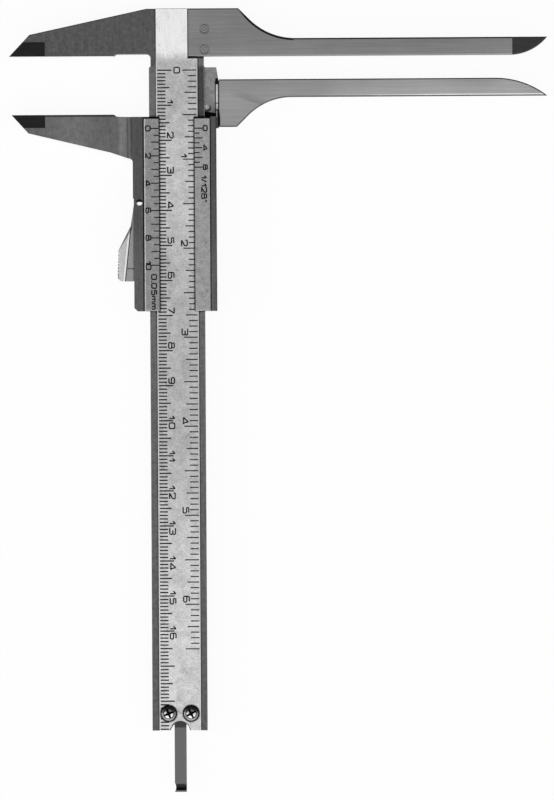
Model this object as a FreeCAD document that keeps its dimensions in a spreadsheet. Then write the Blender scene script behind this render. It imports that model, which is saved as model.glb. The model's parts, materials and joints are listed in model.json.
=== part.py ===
import FreeCAD, Part
import math
import os
import re

import Sketcher

# Vernier caliper with long inside arms, lying on its back, in millimetres.
# The origin is where the beam's centreline, its back face and the fixed measuring face meet.
# X runs across the beam towards the inside arms, Y runs up the beam to its head, Z points out of the scale.
driving = {
    # beam and head
    "beam_width": 15.7,
    "beam_thickness": 4.0,
    "beam_reach": 192.5,        # fixed measuring face to the beam's lower end
    "head_height": 13.5,        # fixed measuring face to the head's top edge
    "scale_width": 11.8,        # raised land that carries both scales
    "scale_shift": 0.1,         # the land's middle, right of the centreline
    "guide_drop": 0.6,          # the land stands this much above the guide steps and the jaw
    "notch_width": 4.4,
    "notch_flare": 0.7,
    "notch_depth": 2.8,
    "notch_rise": 1.1,          # height of the notch's round top
    "notch_overrun": 0.2,
    "ramp_run": 1.9,            # the notch's top falls to the rod along this slope
    "ramp_edge": 0.2,
    "edge_break": 0.2,          # bevel along the front edges of beam, jaws and slider
    "land_break": 0.12,         # bevel round the raised land
    # fixed outside jaw
    "jaw_reach": 47.1,          # centreline to the moving outside tip
    "tip_overhang": 0.65,       # the fixed tip reaches this much further
    "face_inner": 17.9,         # centreline to the inner end of the measuring faces
    "face_relief": 0.6,         # step behind the measuring face
    "face_step": 0.9,           # run of that step
    "jaw_rise": 6.25,           # the fixed tip's slope: height and run
    "jaw_run": 5.85,
    "jaw_shoulder": 8.5,
    "neck_radius": 1.25,        # round root between fixed jaw and beam
    "neck_undercut": 0.5,
    "neck_length": 2.9,
    # hard tips of the outside jaws
    "tip_length": 9.6,
    "fixed_tip_height": 4.15,
    "moving_tip_height": 3.7,
    # long inside arms
    "arm_line": 4.9,            # the arms' measuring edges, above the jaws' measuring faces
    "arm_depth": 5.1,           # depth of both slender arms
    "arm_reach": 105.9,         # centreline to the arms' tips
    "arm_left": 3.2,            # centreline to the fixed arm's riveted end
    "arm_shoulder": 17.75,
    "arm_sweep": 18.5,
    "arm_split": 2.05,          # back of the fixed arm above the beam's back face
    "arm_gap": 0.15,            # the arms pass each other with this clearance
    "arm_bevel": 0.3,           # bevel along the arms' front edges
    "lap_thickness": 1.0,       # fixed arm's lap in the head's recess
    "lap_slot": 0.6,            # open slot under the lap
    "lap_play": 0.03,
    "stub_reach": 11.0,         # the head's stub that carries the rivets
    "nose_fixed": 10.8,         # length of each tip's curved nose
    "nose_moving": 14.8,
    "arm_tip_length": 10.0,     # hard tip of the fixed arm
    "rivet_place": 8.1,         # centreline to the rivets
    "rivet_upper": 7.65,
    "rivet_lower": 1.85,
    "rivet_radius": 0.85,
    "rivet_head": 1.45,         # countersunk, closed flush with the lap
    "rivet_fit": 0.02,
    # slider
    "jaw_opening": 16.65,       # gap between the outside faces, as the vernier reads
    "slide_gap": 0.05,          # running clearance of the slider over and under the beam
    "side_gap": 0.04,           # running clearance beside the beam
    "slider_left": 12.3,
    "slider_right": 11.3,
    "slider_top": 0.75,         # moving measuring face down to the slider's top edge
    "slider_bottom": 56.15,
    "slider_back": 1.75,        # wall behind the beam
    "rail_level": 4.9,          # front of the side rails above the beam's back
    "vernier_outer": 9.43,
    "vernier_window": 4.97,     # centreline to the vernier's thin edge
    "vernier_rise": 0.3,        # vernier plates stand this much above the rails
    "vernier_slope": 0.6,       # and fall this much towards the scale
    "groove_width": 0.25,
    "end_bevel": 0.35,          # bevel across the vernier plates' ends
    "corner_cut": 0.9,
    "rail_proud": 0.25,         # the left rail's upper part stands out this much
    "proud_length": 23.9,
    # moving outside jaw
    "heel_rise": 5.25,          # the moving tip's slope: height and run
    "heel_run": 4.8,
    "jaw_knee": 18.8,
    "jaw_knee_drop": 10.85,
    "jaw_root_drop": 12.6,
    "root_radius": 1.1,
    "blend_outer": 14.6,        # hollow blend from thin jaw to thick rail
    "blend_inner": 12.75,
    "blend_radius": 1.9,
    # neck and moving arm
    "neck_gap": 0.06,           # beside the beam
    "neck_top": 13.45,
    "neck_shoulder": 11.4,
    "neck_right": 12.0,
    "neck_slope_end": 9.7,
    "neck_foot": 3.9,           # the neck's flange ends this far below the measuring face
    "neck_fillet": 0.5,
    "braze_width": 0.15,
    "heel_place": 17.2,
    "heel_drop": 3.55,
    "moving_sweep": 17.6,
    # depth rod
    "rod_width": 3.4,
    "rod_thickness": 1.75,
    "rod_lift": 0.15,           # the rod stands this far off the slider's back wall
    "rod_top": 41.4,            # moving measuring face to the rod's fixed end
    "rod_tip": 193.5,           # moving measuring face to the rod's measuring end
    "rod_play": 0.15,
    "rod_relief": 0.35,
    "rod_relief_height": 2.6,
    "rod_lip": 0.45,            # measuring lip left below the scoop in the rod's front
    "scoop_length": 1.9,
    "scoop_depth": 0.55,
    "rod_seat_length": 12.0,
    "rod_seat_width": 3.0,
    "rod_rivet_radius": 0.8,
    "rod_rivet_inset": 2.6,
    "groove_run": 5.0,          # groove left above the rod's end when the jaws are closed
    "groove_cutter": 2.6,       # radius of the groove's round end
    # stop plate and screws at the beam's end
    "plate_thickness": 1.1,
    "plate_height": 6.9,
    "plate_side": 0.9,
    "plate_end": 0.25,
    "plate_show": 0.6,          # the plate shows this much under the notch's round top
    "screw_place": 3.2,
    "screw_inset": 4.9,
    "screw_head": 2.35,
    "screw_head_height": 1.25,
    "screw_head_rim": 0.45,
    "screw_radius": 1.0,
    "screw_play": 0.08,
    "thread_play": 0.02,
    "recess_length": 2.7,
    "recess_width": 0.6,
    "recess_depth": 0.8,
    "left_screw_turn": 22,      # degrees that each screw came to rest at
    "right_screw_turn": 28,
    # momentary lock
    "pivot_place": 10.72,
    "pivot_drop": 25.2,
    "pin_radius": 0.95,
    "pin_bore": 0.75,
    "pin_length": 6.35,
    "pin_sink": 0.15,           # the pin ends this far under the rail's front
    "pin_play": 0.03,
    "lever_thickness": 2.5,
    "lever_level": 0.5,         # the lever's back face above the beam's back
    "lever_play": 0.08,
    "lever_boss": 1.55,
    "nose_gap": 0.06,           # the released nose clears the beam's side
    "nose_reach": 4.6,
    "nose_height": 1.6,
    "nose_width": 1.5,
    "lever_waist": 2.55,
    "pad_taper": 0.25,
    "pad_start": 6.6,           # along the lever, below the pivot
    "pad_full": 13.6,
    "pad_end": 22.4,
    "pad_reach": 17.1,          # centreline to the thumb pad
    "pad_bevel": 0.75,
    "pad_bevel_width": 2.3,
    "pad_face_start": 7.6,      # along the lever, where the sloping thumb face begins
    "pad_round": 1.5,
    "grip_pitch": 0.91,         # notches across the thumb pad's rim
    "grip_depth": 0.25,
    "lever_inner": 11.45,
    "slot_inner": 8.75,
    "slot_over": 1.3,
    "window_start": 0.6,        # the nose's window opens this far above the pivot
    "spring_leaf": 0.22,
    "spring_width": 2.0,
    "spring_start": 5.5,        # below the pivot
    "spring_foot": 3.0,
    "spring_turn": 30,
    "seat_play": 0.02,          # springs stand this much off the faces they press on
    # gib spring and its screws
    "gib_pocket": 1.05,
    "gib_leaf": 0.25,
    "gib_width": 2.5,
    "gib_length": 42.0,
    "gib_foot": 3.6,
    "gib_end_play": 0.3,
    "gib_side_play": 0.15,
    "gib_level": 0.45,
    "gib_screw_radius": 1.1,
    "gib_screw_sink": 0.25,
    "gib_slot_width": 0.35,
    "gib_slot_depth": 0.5,
}

doc = FreeCAD.newDocument("Caliper")
sizes = doc.addObject("Spreadsheet::Sheet", "Sizes")
for row, (alias, size) in enumerate(driving.items(), 1):
    sizes.set(f"A{row}", alias)
    sizes.set(f"B{row}", str(size))
    sizes.setAlias(f"B{row}", alias)
doc.recompute()

across, flat, side = "YZ_Plane", "XY_Plane", "XZ_Plane"
clear = "1"     # how far a cutting profile runs past the face it opens
tiny = 1e-4


def bound(text):
    """Point every size named in a formula at its cell in the sheet."""
    return re.sub(r"[a-z]+(_[a-z]+)+", lambda name: "Sizes." + name.group(0), str(text))


def value(text):
    return float(sizes.evalExpression(bound(text)))


def body(name, place=("0", "0", "0")):
    piece = doc.addObject("PartDesign::Body", name)
    piece.Label = name
    for axis, formula in zip("xyz", place):
        piece.setExpression(f"Placement.Base.{axis}", bound(formula))
    return piece


def sketch(piece, name, plane, level="0"):
    """An empty sketch on one of the body's own planes, lifted to a level along the plane's normal."""
    drawing = piece.newObject("Sketcher::SketchObject", name)
    origin_plane = [part for part in piece.Origin.OriginFeatures if part.Role == plane][0]
    drawing.AttachmentSupport = [(origin_plane, "")]
    drawing.MapMode = "FlatFace"
    lift = f"-({level})" if plane == side else f"{level}"
    drawing.setExpression("AttachmentOffset.Base.z", bound(lift))
    return drawing


def outline(drawing, points):
    """A closed outline. A third item makes an arc of that radius end there, turning left where it is positive."""
    spots = [FreeCAD.Vector(value(point[0]), value(point[1]), 0) for point in points]
    ends = []
    for index, point in enumerate(points):
        start, end = spots[index - 1], spots[index]
        if len(point) == 2:
            edge = drawing.addGeometry(Part.LineSegment(start, end), False)
            ends.append((edge, 1, 2))
            continue
        turn = 1 if value(point[2]) > 0 else -1
        radius = abs(value(point[2]))
        chord = end - start
        rise = radius - math.sqrt(max(radius**2 - chord.Length**2 / 4, 0))
        outward = FreeCAD.Vector(chord.y, -chord.x, 0).normalize() * turn
        middle = (start + end) * 0.5 + outward * rise
        edge = drawing.addGeometry(Part.Arc(start, middle, end), False)
        ends.append((edge, 1, 2) if turn > 0 else (edge, 2, 1))
        rule = drawing.addConstraint(Sketcher.Constraint("Radius", edge, radius))
        drawing.setExpression(f"Constraints[{rule}]", bound(f"abs({point[2]})"))
    for index, (edge, first, last) in enumerate(ends):
        following = ends[(index + 1) % len(ends)]
        drawing.addConstraint(Sketcher.Constraint("Coincident", edge, last, following[0], following[1]))
        for kind, reach, formula in zip(("DistanceX", "DistanceY"), spots[index], points[index]):
            rule = drawing.addConstraint(Sketcher.Constraint(kind, -1, 1, edge, last, reach))
            drawing.setExpression(f"Constraints[{rule}]", bound(formula))


def circles(drawing, centres, radius):
    for across_by, up_by in centres:
        middle = FreeCAD.Vector(value(across_by), value(up_by), 0)
        ring = drawing.addGeometry(Part.Circle(middle, FreeCAD.Vector(0, 0, 1), value(radius)), False)
        rules = (
            (Sketcher.Constraint("Radius", ring, value(radius)), radius),
            (Sketcher.Constraint("DistanceX", -1, 1, ring, 3, middle.x), across_by),
            (Sketcher.Constraint("DistanceY", -1, 1, ring, 3, middle.y), up_by),
        )
        for constraint, formula in rules:
            rule = drawing.addConstraint(constraint)
            drawing.setExpression(f"Constraints[{rule}]", bound(formula))


def feature(piece, kind, name, drawing, length):
    made = piece.newObject(f"PartDesign::{kind}", name)
    made.Profile = drawing
    made.setExpression("Length", bound(length))
    return made


def pad(piece, name, plane, points, low, high):
    """Material between two levels along the plane's axis."""
    drawing = sketch(piece, name + "Outline", plane, high if plane == side else low)
    outline(drawing, points)
    return feature(piece, "Pad", name, drawing, f"({high}) - ({low})")


def pocket(piece, name, plane, points, low, high):
    """A cut between two levels along the plane's axis."""
    drawing = sketch(piece, name + "Outline", plane, low if plane == side else high)
    outline(drawing, points)
    return feature(piece, "Pocket", name, drawing, f"({high}) - ({low})")


def drill(piece, name, plane, centres, radius, low, high):
    drawing = sketch(piece, name + "Circles", plane, low if plane == side else high)
    circles(drawing, centres, radius)
    return feature(piece, "Pocket", name, drawing, f"({high}) - ({low})")


def bevel(piece, name, size, wanted):
    """Bevel the edges that the test wants, which it knows by their ends and their middle point."""
    doc.recompute()
    base, names = piece.Tip, []
    for index, edge in enumerate(base.Shape.Edges, 1):
        spots = [corner.Point for corner in edge.Vertexes]
        spots.append(edge.valueAt((edge.FirstParameter + edge.LastParameter) / 2))
        if wanted(spots):
            names.append(f"Edge{index}")
    made = piece.newObject("PartDesign::Chamfer", name)
    made.Base = (base, names)
    made.setExpression("Size", bound(size))
    return made


def at_level(level, wanted):
    """A test for the edges at one level whose middle point is wanted."""
    height = value(level)
    return lambda spots: all(abs(spot.z - height) < tiny for spot in spots) and wanted(spots[-1])


def turn(piece, name, points):
    """A round piece about its own Z axis, from a half section of radius and height."""
    drawing = sketch(piece, name + "Section", side)
    outline(drawing, points)
    made = piece.newObject("PartDesign::Revolution", name)
    made.Profile = drawing
    made.ReferenceAxis = (drawing, ["V_Axis"])
    made.Angle = 360
    return made


def rectangle(left, bottom, right, top):
    return [(left, bottom), (right, bottom), (right, top), (left, top)]


# Levels and edges that several pieces share
half = "beam_width / 2"
jaw_front = "beam_thickness - guide_drop"
land_left = "scale_shift - scale_width / 2"
land_right = "scale_shift + scale_width / 2"
lap_floor = "beam_thickness - lap_thickness"
moving_front = "arm_split - arm_gap"
lap_bottom = "arm_line - arm_depth"
tip_inner = "(jaw_reach - tip_length)"
arm_joint = "(arm_reach - arm_tip_length)"
fixed_tip = "(jaw_reach + tip_overhang)"
fixed_tip_left = f"-{fixed_tip} + jaw_run * fixed_tip_height / jaw_rise"
moving_tip_left = "-jaw_reach + heel_run * moving_tip_height / heel_rise"
on_slider = ("0", "-jaw_opening", "0")
rivet_rows = ("rivet_upper", "rivet_lower")
beam_bottom = "-beam_reach"
screw_row = "-beam_reach + screw_inset"
groove_left = "scale_shift - rod_width / 2 - rod_play"
groove_right = "scale_shift + rod_width / 2 + rod_play"
groove_depth = "rod_lift + rod_thickness + rod_play"
groove_top = "-rod_top + groove_run"
notch_crown = "-beam_reach + notch_depth"


def end_notch(crown):
    """The flared notch that bares the depth rod's end, below its round top."""
    reach = "notch_width / 2"
    spring_line = f"{crown} - notch_rise"
    arch = "(notch_width * notch_width / 4 + notch_rise * notch_rise) / (2 * notch_rise)"
    return [
        (f"scale_shift - {reach} - notch_flare", f"{beam_bottom} - notch_overrun"),
        (f"scale_shift + {reach} + notch_flare", f"{beam_bottom} - notch_overrun"),
        (f"scale_shift + {reach}", spring_line),
        (f"scale_shift - {reach}", spring_line, arch),
    ]


def main_beam():
    """Beam, head and fixed outside jaw, ground from one blank."""
    beam = body("main_beam")
    corner = "face_relief - neck_radius"
    pad(beam, "Blank", flat, [
        (f"-{fixed_tip}", "0"),
        ("-face_inner", "0"),
        ("-face_inner + face_step", "face_relief"),
        (f"-{half} + neck_undercut - neck_radius", "face_relief"),
        (f"-{half} + neck_undercut", corner, "-neck_radius"),
        (f"-{half} + neck_undercut", "-neck_length"),
        (f"-{half}", "-neck_length - neck_undercut"),
        (f"-{half}", beam_bottom),
        (half, beam_bottom),
        (half, "head_height"),
        ("-jaw_shoulder", "head_height"),
        (f"-{fixed_tip} + jaw_run", "jaw_rise"),
    ], "0", jaw_front)
    pad(beam, "ScaleLand", flat, rectangle(land_left, beam_bottom, land_right, "head_height"),
        jaw_front, "beam_thickness")
    pad(beam, "RivetStub", flat, rectangle(f"{half} - {clear}", lap_bottom, "stub_reach", "head_height"),
        "arm_split", lap_floor)
    pocket(beam, "LapRecess", flat, [
        ("arm_left", f"head_height + {clear}"),
        ("arm_left", f"{lap_bottom} - lap_slot / 2"),
        ("arm_left + lap_slot / 2", f"{lap_bottom} - lap_slot", "lap_slot / 2"),
        (f"stub_reach + {clear}", f"{lap_bottom} - lap_slot"),
        (f"stub_reach + {clear}", f"head_height + {clear}"),
    ], lap_floor, f"beam_thickness + {clear}")
    pocket(beam, "TipSeat", flat, rectangle(f"-{fixed_tip} - {clear}", f"-{clear}", f"-{tip_inner}",
                                            "fixed_tip_height"), f"-{clear}", f"beam_thickness + {clear}")
    reach = "(rod_width / 2 + rod_play)"
    groove_end = f"{groove_top} - groove_cutter + sqrt(groove_cutter * groove_cutter - {reach} * {reach})"
    pocket(beam, "RodGroove", flat, [
        (groove_left, f"{beam_bottom} - {clear}"),
        (groove_right, f"{beam_bottom} - {clear}"),
        (groove_right, groove_end),
        (groove_left, groove_end, "groove_cutter"),
    ], f"-{clear}", groove_depth)
    pocket(beam, "EndNotch", flat, end_notch(notch_crown), f"-{clear}", f"beam_thickness + {clear}")
    pad(beam, "NotchRamp", across, [
        (f"{notch_crown} - ramp_run", groove_depth),
        (notch_crown, groove_depth),
        (notch_crown, "beam_thickness"),
        (f"{notch_crown} - ramp_run", f"{groove_depth} + ramp_edge"),
    ], "scale_shift - rod_width / 2", "scale_shift + rod_width / 2")
    drill(beam, "ScrewHoles", flat, [("-screw_place", screw_row), ("screw_place", screw_row)],
          "screw_radius + screw_play", f"-{clear}", f"beam_thickness + {clear}")
    drill(beam, "RivetHoles", flat, [("rivet_place", row) for row in rivet_rows],
          "rivet_radius + rivet_fit", f"-{clear}", f"beam_thickness + {clear}")
    left, right, low, high = value(land_left), value(land_right), value(beam_bottom), value("head_height")
    bevel(beam, "JawTopBevel", "edge_break", at_level(jaw_front, lambda spot: (
        spot.x < left - tiny and spot.y > value("fixed_tip_height") + tiny)))
    bevel(beam, "GuideBevels", "edge_break", at_level(jaw_front, lambda spot: (
        spot.y < -value("neck_length") and abs(spot.x) > value(half) - tiny)))
    bevel(beam, "LandBevels", "land_break", at_level("beam_thickness", lambda spot: (
        abs(spot.x - left) < tiny or abs(spot.x - right) < tiny or min(high - spot.y, spot.y - low) < tiny)))


def fixed_jaw_tip():
    """Hard insert brazed into the fixed jaw."""
    tip = body("fixed_jaw_tip")
    pad(tip, "Insert", flat, [
        (f"-{fixed_tip}", "0"),
        (f"-{tip_inner}", "0"),
        (f"-{tip_inner}", "fixed_tip_height"),
        (fixed_tip_left, "fixed_tip_height"),
    ], "0", jaw_front)


def nose_radius(length):
    return f"({length} * {length} + arm_depth * arm_depth) / (2 * arm_depth)"


def fixed_inside_arm():
    """Arm whose lap lies in the head's recess, under two flush rivets."""
    arm = body("fixed_inside_arm")
    drop = "arm_sweep * (1 - cos(45))"
    slant = f"head_height - arm_line - {drop}"
    pad(arm, "ArmBlank", flat, [
        ("arm_left + lap_play", lap_bottom),
        (arm_joint, lap_bottom),
        (arm_joint, "arm_line"),
        (f"arm_shoulder + {slant} + arm_sweep * sin(45)", "arm_line"),
        (f"arm_shoulder + {slant}", f"arm_line + {drop}", "-arm_sweep"),
        ("arm_shoulder", "head_height"),
        ("arm_left + lap_play", "head_height"),
    ], "arm_split", "beam_thickness")
    pocket(arm, "Lap", flat, rectangle("0", f"{lap_bottom} - {clear}", "stub_reach + lap_play",
                                       f"head_height + {clear}"), f"arm_split - {clear}", lap_floor)
    left, right = value("arm_left + lap_play"), value(arm_joint)
    bevel(arm, "FrontBevel", "arm_bevel", at_level("beam_thickness", lambda spot: (
        left + tiny < spot.x < right - tiny)))
    drill(arm, "RivetHoles", flat, [("rivet_place", row) for row in rivet_rows],
          "rivet_radius + rivet_fit", "0", f"beam_thickness + {clear}")
    bevel(arm, "Countersinks", "rivet_head - rivet_radius", lambda spots: (
        all(abs(spot.z - value("beam_thickness")) < tiny for spot in spots)
        and all(abs(spot.x - value("rivet_place")) < value("rivet_head") for spot in spots)))


def fixed_arm_tip():
    """Hard nose brazed to the fixed arm's end."""
    tip = body("fixed_arm_tip")
    start = "arm_reach - nose_fixed"
    drop = nose_radius("nose_fixed")
    inset = f"({arm_joint} - ({start}))"
    pad(tip, "Nose", flat, [
        (arm_joint, "arm_line"),
        (arm_joint, f"{lap_bottom} + {drop} - sqrt(({drop}) * ({drop}) - {inset} * {inset})"),
        ("arm_reach", "arm_line", drop),
    ], "arm_split", "beam_thickness")
    joint = value(arm_joint)
    bevel(tip, "FrontBevel", "arm_bevel", at_level("beam_thickness", lambda spot: spot.x > joint + tiny))


def arm_rivet(name, row):
    """Countersunk rivet through the lap and the head's stub."""
    rivet = body(name, ("rivet_place", row, "arm_split"))
    length = "beam_thickness - arm_split"
    turn(rivet, "Shank", [
        ("0", "0"),
        ("rivet_radius", "0"),
        ("rivet_radius", f"{length} - (rivet_head - rivet_radius)"),
        ("rivet_head", length),
        ("0", length),
    ])


def stop_plate():
    """Plate behind the beam's end that closes the rod groove and takes the stop screws."""
    plate = body("rod_stop_plate")
    pad(plate, "Plate", flat, rectangle(f"-{half} + plate_side", f"{beam_bottom} + plate_end",
                                        f"{half} - plate_side", f"{beam_bottom} + plate_height"),
        "-plate_thickness", "0")
    pocket(plate, "RodNotch", flat, end_notch(f"{notch_crown} - plate_show"),
           f"-plate_thickness - {clear}", clear)
    drill(plate, "ScrewHoles", flat, [("-screw_place", screw_row), ("screw_place", screw_row)],
          "screw_radius + thread_play", f"-plate_thickness - {clear}", clear)


def stop_screw(name, place, rest):
    """Domed cross-recess screw that fastens the stop plate and catches the slider."""
    screw = body(name, (place, screw_row, "beam_thickness"))
    screw.setExpression("Placement.Rotation.Angle", bound(rest))
    dome_height = "screw_head_height - screw_head_rim"
    dome = f"(screw_head * screw_head + ({dome_height}) * ({dome_height})) / (2 * ({dome_height}))"
    turn(screw, "Shank", [
        ("0", "-beam_thickness - plate_thickness"),
        ("screw_radius", "-beam_thickness - plate_thickness"),
        ("screw_radius", "0"),
        ("screw_head", "0"),
        ("screw_head", "screw_head_rim"),
        ("0", "screw_head_height", dome),
    ])
    floor, top = "screw_head_height - recess_depth", f"screw_head_height + {clear}"
    long, wide = "recess_length / 2", "recess_width / 2"
    pocket(screw, "RecessAcross", flat, rectangle(f"-{long}", f"-{wide}", long, wide), floor, top)
    pocket(screw, "RecessAlong", flat, rectangle(f"-{wide}", f"-{long}", wide, long), floor, top)


def slider_section():
    """The slider's cross section: back wall, two rails, and a vernier lip on each side of the scale."""
    rail = f"({half} + side_gap)"
    under = f"({jaw_front} + slide_gap)"
    lip = "(beam_thickness + slide_gap)"
    crest = "(rail_level + vernier_rise)"
    edge = "(rail_level + vernier_rise - vernier_slope)"
    return [
        ("-slider_left", "-slide_gap - slider_back"),
        ("slider_right", "-slide_gap - slider_back"),
        ("slider_right", "rail_level"),
        ("vernier_outer", "rail_level"),
        ("vernier_outer", crest),
        ("vernier_window", edge),
        ("vernier_window", lip),
        (f"{land_right} + slide_gap", lip),
        (f"{land_right} + slide_gap", under),
        (rail, under),
        (rail, "-slide_gap"),
        (f"-{rail}", "-slide_gap"),
        (f"-{rail}", under),
        (f"{land_left} - slide_gap", under),
        (f"{land_left} - slide_gap", lip),
        ("-vernier_window", lip),
        ("-vernier_window", edge),
        ("-vernier_outer", crest),
        ("-vernier_outer", "rail_level - groove_width"),
        ("-vernier_outer - groove_width", "rail_level - groove_width"),
        ("-vernier_outer - groove_width", "rail_level"),
        ("-slider_left", "rail_level"),
    ]


def slider_body():
    """Slider with its moving outside jaw and the neck for the moving inside arm."""
    slider = body("slider_body", on_slider)
    pad(slider, "Channel", side, slider_section(), "-slider_bottom", "-slider_top")
    root = "-slider_left - rail_proud"
    pad(slider, "ProudRail", flat, rectangle(root, "-proud_length", "-slider_left", "-slider_top"),
        "-slide_gap - slider_back", "rail_level")
    pad(slider, "JawBlank", flat, [
        ("-jaw_reach", "0"),
        ("-jaw_reach + heel_run", "-heel_rise"),
        ("-jaw_knee", "-jaw_knee_drop"),
        (f"{root} - root_radius", "-jaw_root_drop"),
        (root, "-jaw_root_drop - root_radius", "-root_radius"),
        ("-vernier_outer - groove_width", "-jaw_root_drop - root_radius"),
        ("-vernier_outer - groove_width", "-slider_top"),
        ("-slider_left", "-slider_top"),
        ("-face_inner + face_step", "-face_relief"),
        ("-face_inner", "0"),
    ], "0", "rail_level")
    pocket(slider, "JawFace", side, [
        (f"-jaw_reach - {clear}", jaw_front),
        ("-blend_outer", jaw_front),
        ("-blend_inner", "rail_level", "blend_radius"),
        ("-blend_inner", f"rail_level + {clear}"),
        (f"-jaw_reach - {clear}", f"rail_level + {clear}"),
    ], f"-jaw_root_drop - root_radius - {clear}", clear)
    pocket(slider, "TipSeat", flat, rectangle(f"-jaw_reach - {clear}", "-moving_tip_height",
                                              f"-{tip_inner}", clear), f"-{clear}", f"rail_level + {clear}")
    neck_left = f"{half} + neck_gap"
    pad(slider, "Neck", flat, [
        (neck_left, f"-slider_top - {clear}"),
        ("slider_right", f"-slider_top - {clear}"),
        ("slider_right", "-neck_foot"),
        ("neck_right", "-neck_foot"),
        ("neck_right", "neck_slope_end"),
        ("neck_shoulder", "neck_top"),
        (f"{neck_left} + neck_fillet", "neck_top"),
        (neck_left, "neck_top + neck_fillet", "-neck_fillet"),
    ], "0", moving_front)
    pocket(slider, "LeverSlot", flat, rectangle(f"{root} - {clear}", "-pivot_drop - pad_end - slot_over",
                                                "-slot_inner", "-pivot_drop + nose_reach + slot_over"),
           "lever_level - lever_play", "lever_level + lever_thickness + lever_play")
    pocket(slider, "NoseWindow", flat, rectangle(f"-slot_inner - {clear}",
                                                 "-pivot_drop + window_start", f"-{half}",
                                                 "-pivot_drop + nose_reach + slot_over"),
           "lever_level - lever_play", "lever_level + lever_thickness + lever_play")
    drill(slider, "PivotHole", flat, [("-pivot_place", "-pivot_drop")], "pin_radius + rivet_fit",
          f"-slider_back - {clear}", f"rail_level + {clear}")
    gib_middle = "(slider_top + slider_bottom) / 2"
    gib_run = "gib_length / 2 + gib_end_play"
    pocket(slider, "GibPocket", flat, rectangle(half, f"-{gib_middle} - ({gib_run})",
                                                f"{half} + gib_pocket", f"-{gib_middle} + {gib_run}"),
           "gib_level - gib_side_play", "gib_level + gib_width + gib_side_play")
    screw_level = "gib_level + gib_width / 2"
    reach = "gib_length / 2 - gib_foot / 2"
    drill(slider, "GibScrewHoles", across, [(f"-{gib_middle} + {reach}", screw_level),
                                            (f"-{gib_middle} - ({reach})", screw_level)],
          "gib_screw_radius + rivet_fit", half, f"slider_right + {clear}")
    pad(slider, "RodSeat", flat, rectangle("scale_shift - rod_seat_width / 2", "-rod_top - rod_seat_length",
                                           "scale_shift + rod_seat_width / 2", "-rod_top"),
        "-slide_gap", "rod_lift - slide_gap")
    drill(slider, "RodRivetHoles", flat, [("scale_shift", "-rod_top - rod_rivet_inset"),
                                          ("scale_shift", "-rod_top - rod_seat_length + rod_rivet_inset")],
          "rod_rivet_radius + rivet_fit", f"-slider_back - {clear}", "rod_lift")
    pocket(slider, "CornerCut", flat, [
        (f"-slider_left - {clear}", f"-slider_bottom + corner_cut + {clear}"),
        (f"-slider_left - {clear}", f"-slider_bottom - {clear}"),
        (f"-slider_left + corner_cut + {clear}", f"-slider_bottom - {clear}"),
    ], f"-slider_back - {clear}", f"rail_level + {clear}")
    ends = (value("-slider_top"), value("-slider_bottom"))
    bevel(slider, "PlateEnds", "end_bevel", lambda spots: (
        any(all(abs(spot.y - end) < tiny for spot in spots) for end in ends)
        and abs(spots[0].x - spots[-1].x) > tiny and abs(spots[0].z - spots[-1].z) > tiny))


def moving_jaw_tip():
    """Hard insert brazed into the moving jaw."""
    tip = body("moving_jaw_tip", on_slider)
    pad(tip, "Insert", flat, [
        ("-jaw_reach", "0"),
        (moving_tip_left, "-moving_tip_height"),
        (f"-{tip_inner}", "-moving_tip_height"),
        (f"-{tip_inner}", "0"),
    ], "0", jaw_front)


def moving_inside_arm():
    """Arm brazed to the slider's neck, passing behind the fixed arm."""
    arm = body("moving_inside_arm", on_slider)
    root = "neck_right + braze_width"
    drop = "moving_sweep * (1 - cos(45))"
    run = f"(arm_line - ({drop}) + heel_drop)"
    pad(arm, "ArmBlank", flat, [
        (root, "-heel_drop"),
        ("heel_place", "-heel_drop"),
        (f"heel_place + {run}", f"arm_line - {drop}"),
        (f"heel_place + {run} + moving_sweep * sin(45)", "arm_line", "-moving_sweep"),
        ("arm_reach", "arm_line"),
        ("arm_reach - nose_moving", "arm_line + arm_depth", nose_radius("nose_moving")),
        (root, "arm_line + arm_depth"),
    ], "0", moving_front)
    joint = value(root)
    bevel(arm, "FrontBevel", "arm_bevel", at_level(moving_front, lambda spot: spot.x > joint + tiny))


def arm_braze():
    """Filled joint between neck and moving arm."""
    seam = body("arm_braze_seam", on_slider)
    pad(seam, "Seam", flat, rectangle("neck_right", "-heel_drop", "neck_right + braze_width",
                                      "neck_slope_end"), "0", moving_front)


def depth_rod():
    """Flat rod in the beam's back groove, riveted to the slider's back wall."""
    rod = body("depth_rod", on_slider)
    left, right = "scale_shift - rod_width / 2", "scale_shift + rod_width / 2"
    hollow = "(rod_relief_height * rod_relief_height / 4 + rod_relief * rod_relief) / (2 * rod_relief)"
    pad(rod, "Rod", flat, [
        (left, "-rod_tip", f"-{hollow}"),
        (right, "-rod_tip"),
        (right, "-rod_top"),
        (left, "-rod_top"),
        (left, "-rod_tip + rod_relief_height"),
    ], "rod_lift - slide_gap", "rod_lift - slide_gap + rod_thickness")
    drill(rod, "RivetHoles", flat, [("scale_shift", "-rod_top - rod_rivet_inset"),
                                    ("scale_shift", "-rod_top - rod_seat_length + rod_rivet_inset")],
          "rod_rivet_radius + rivet_fit", "0", groove_depth)
    front = "rod_lift - slide_gap + rod_thickness"
    pocket(rod, "EndScoop", across, [
        ("-rod_tip + rod_lip", f"{front} + {clear}"),
        ("-rod_tip + rod_lip + scoop_length", f"{front} + {clear}"),
        ("-rod_tip + rod_lip + scoop_length", front),
        ("-rod_tip + rod_lip", front,
         "-(scoop_length * scoop_length / 4 + scoop_depth * scoop_depth) / (2 * scoop_depth)"),
    ], f"{left} - {clear}", f"{right} + {clear}")


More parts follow.
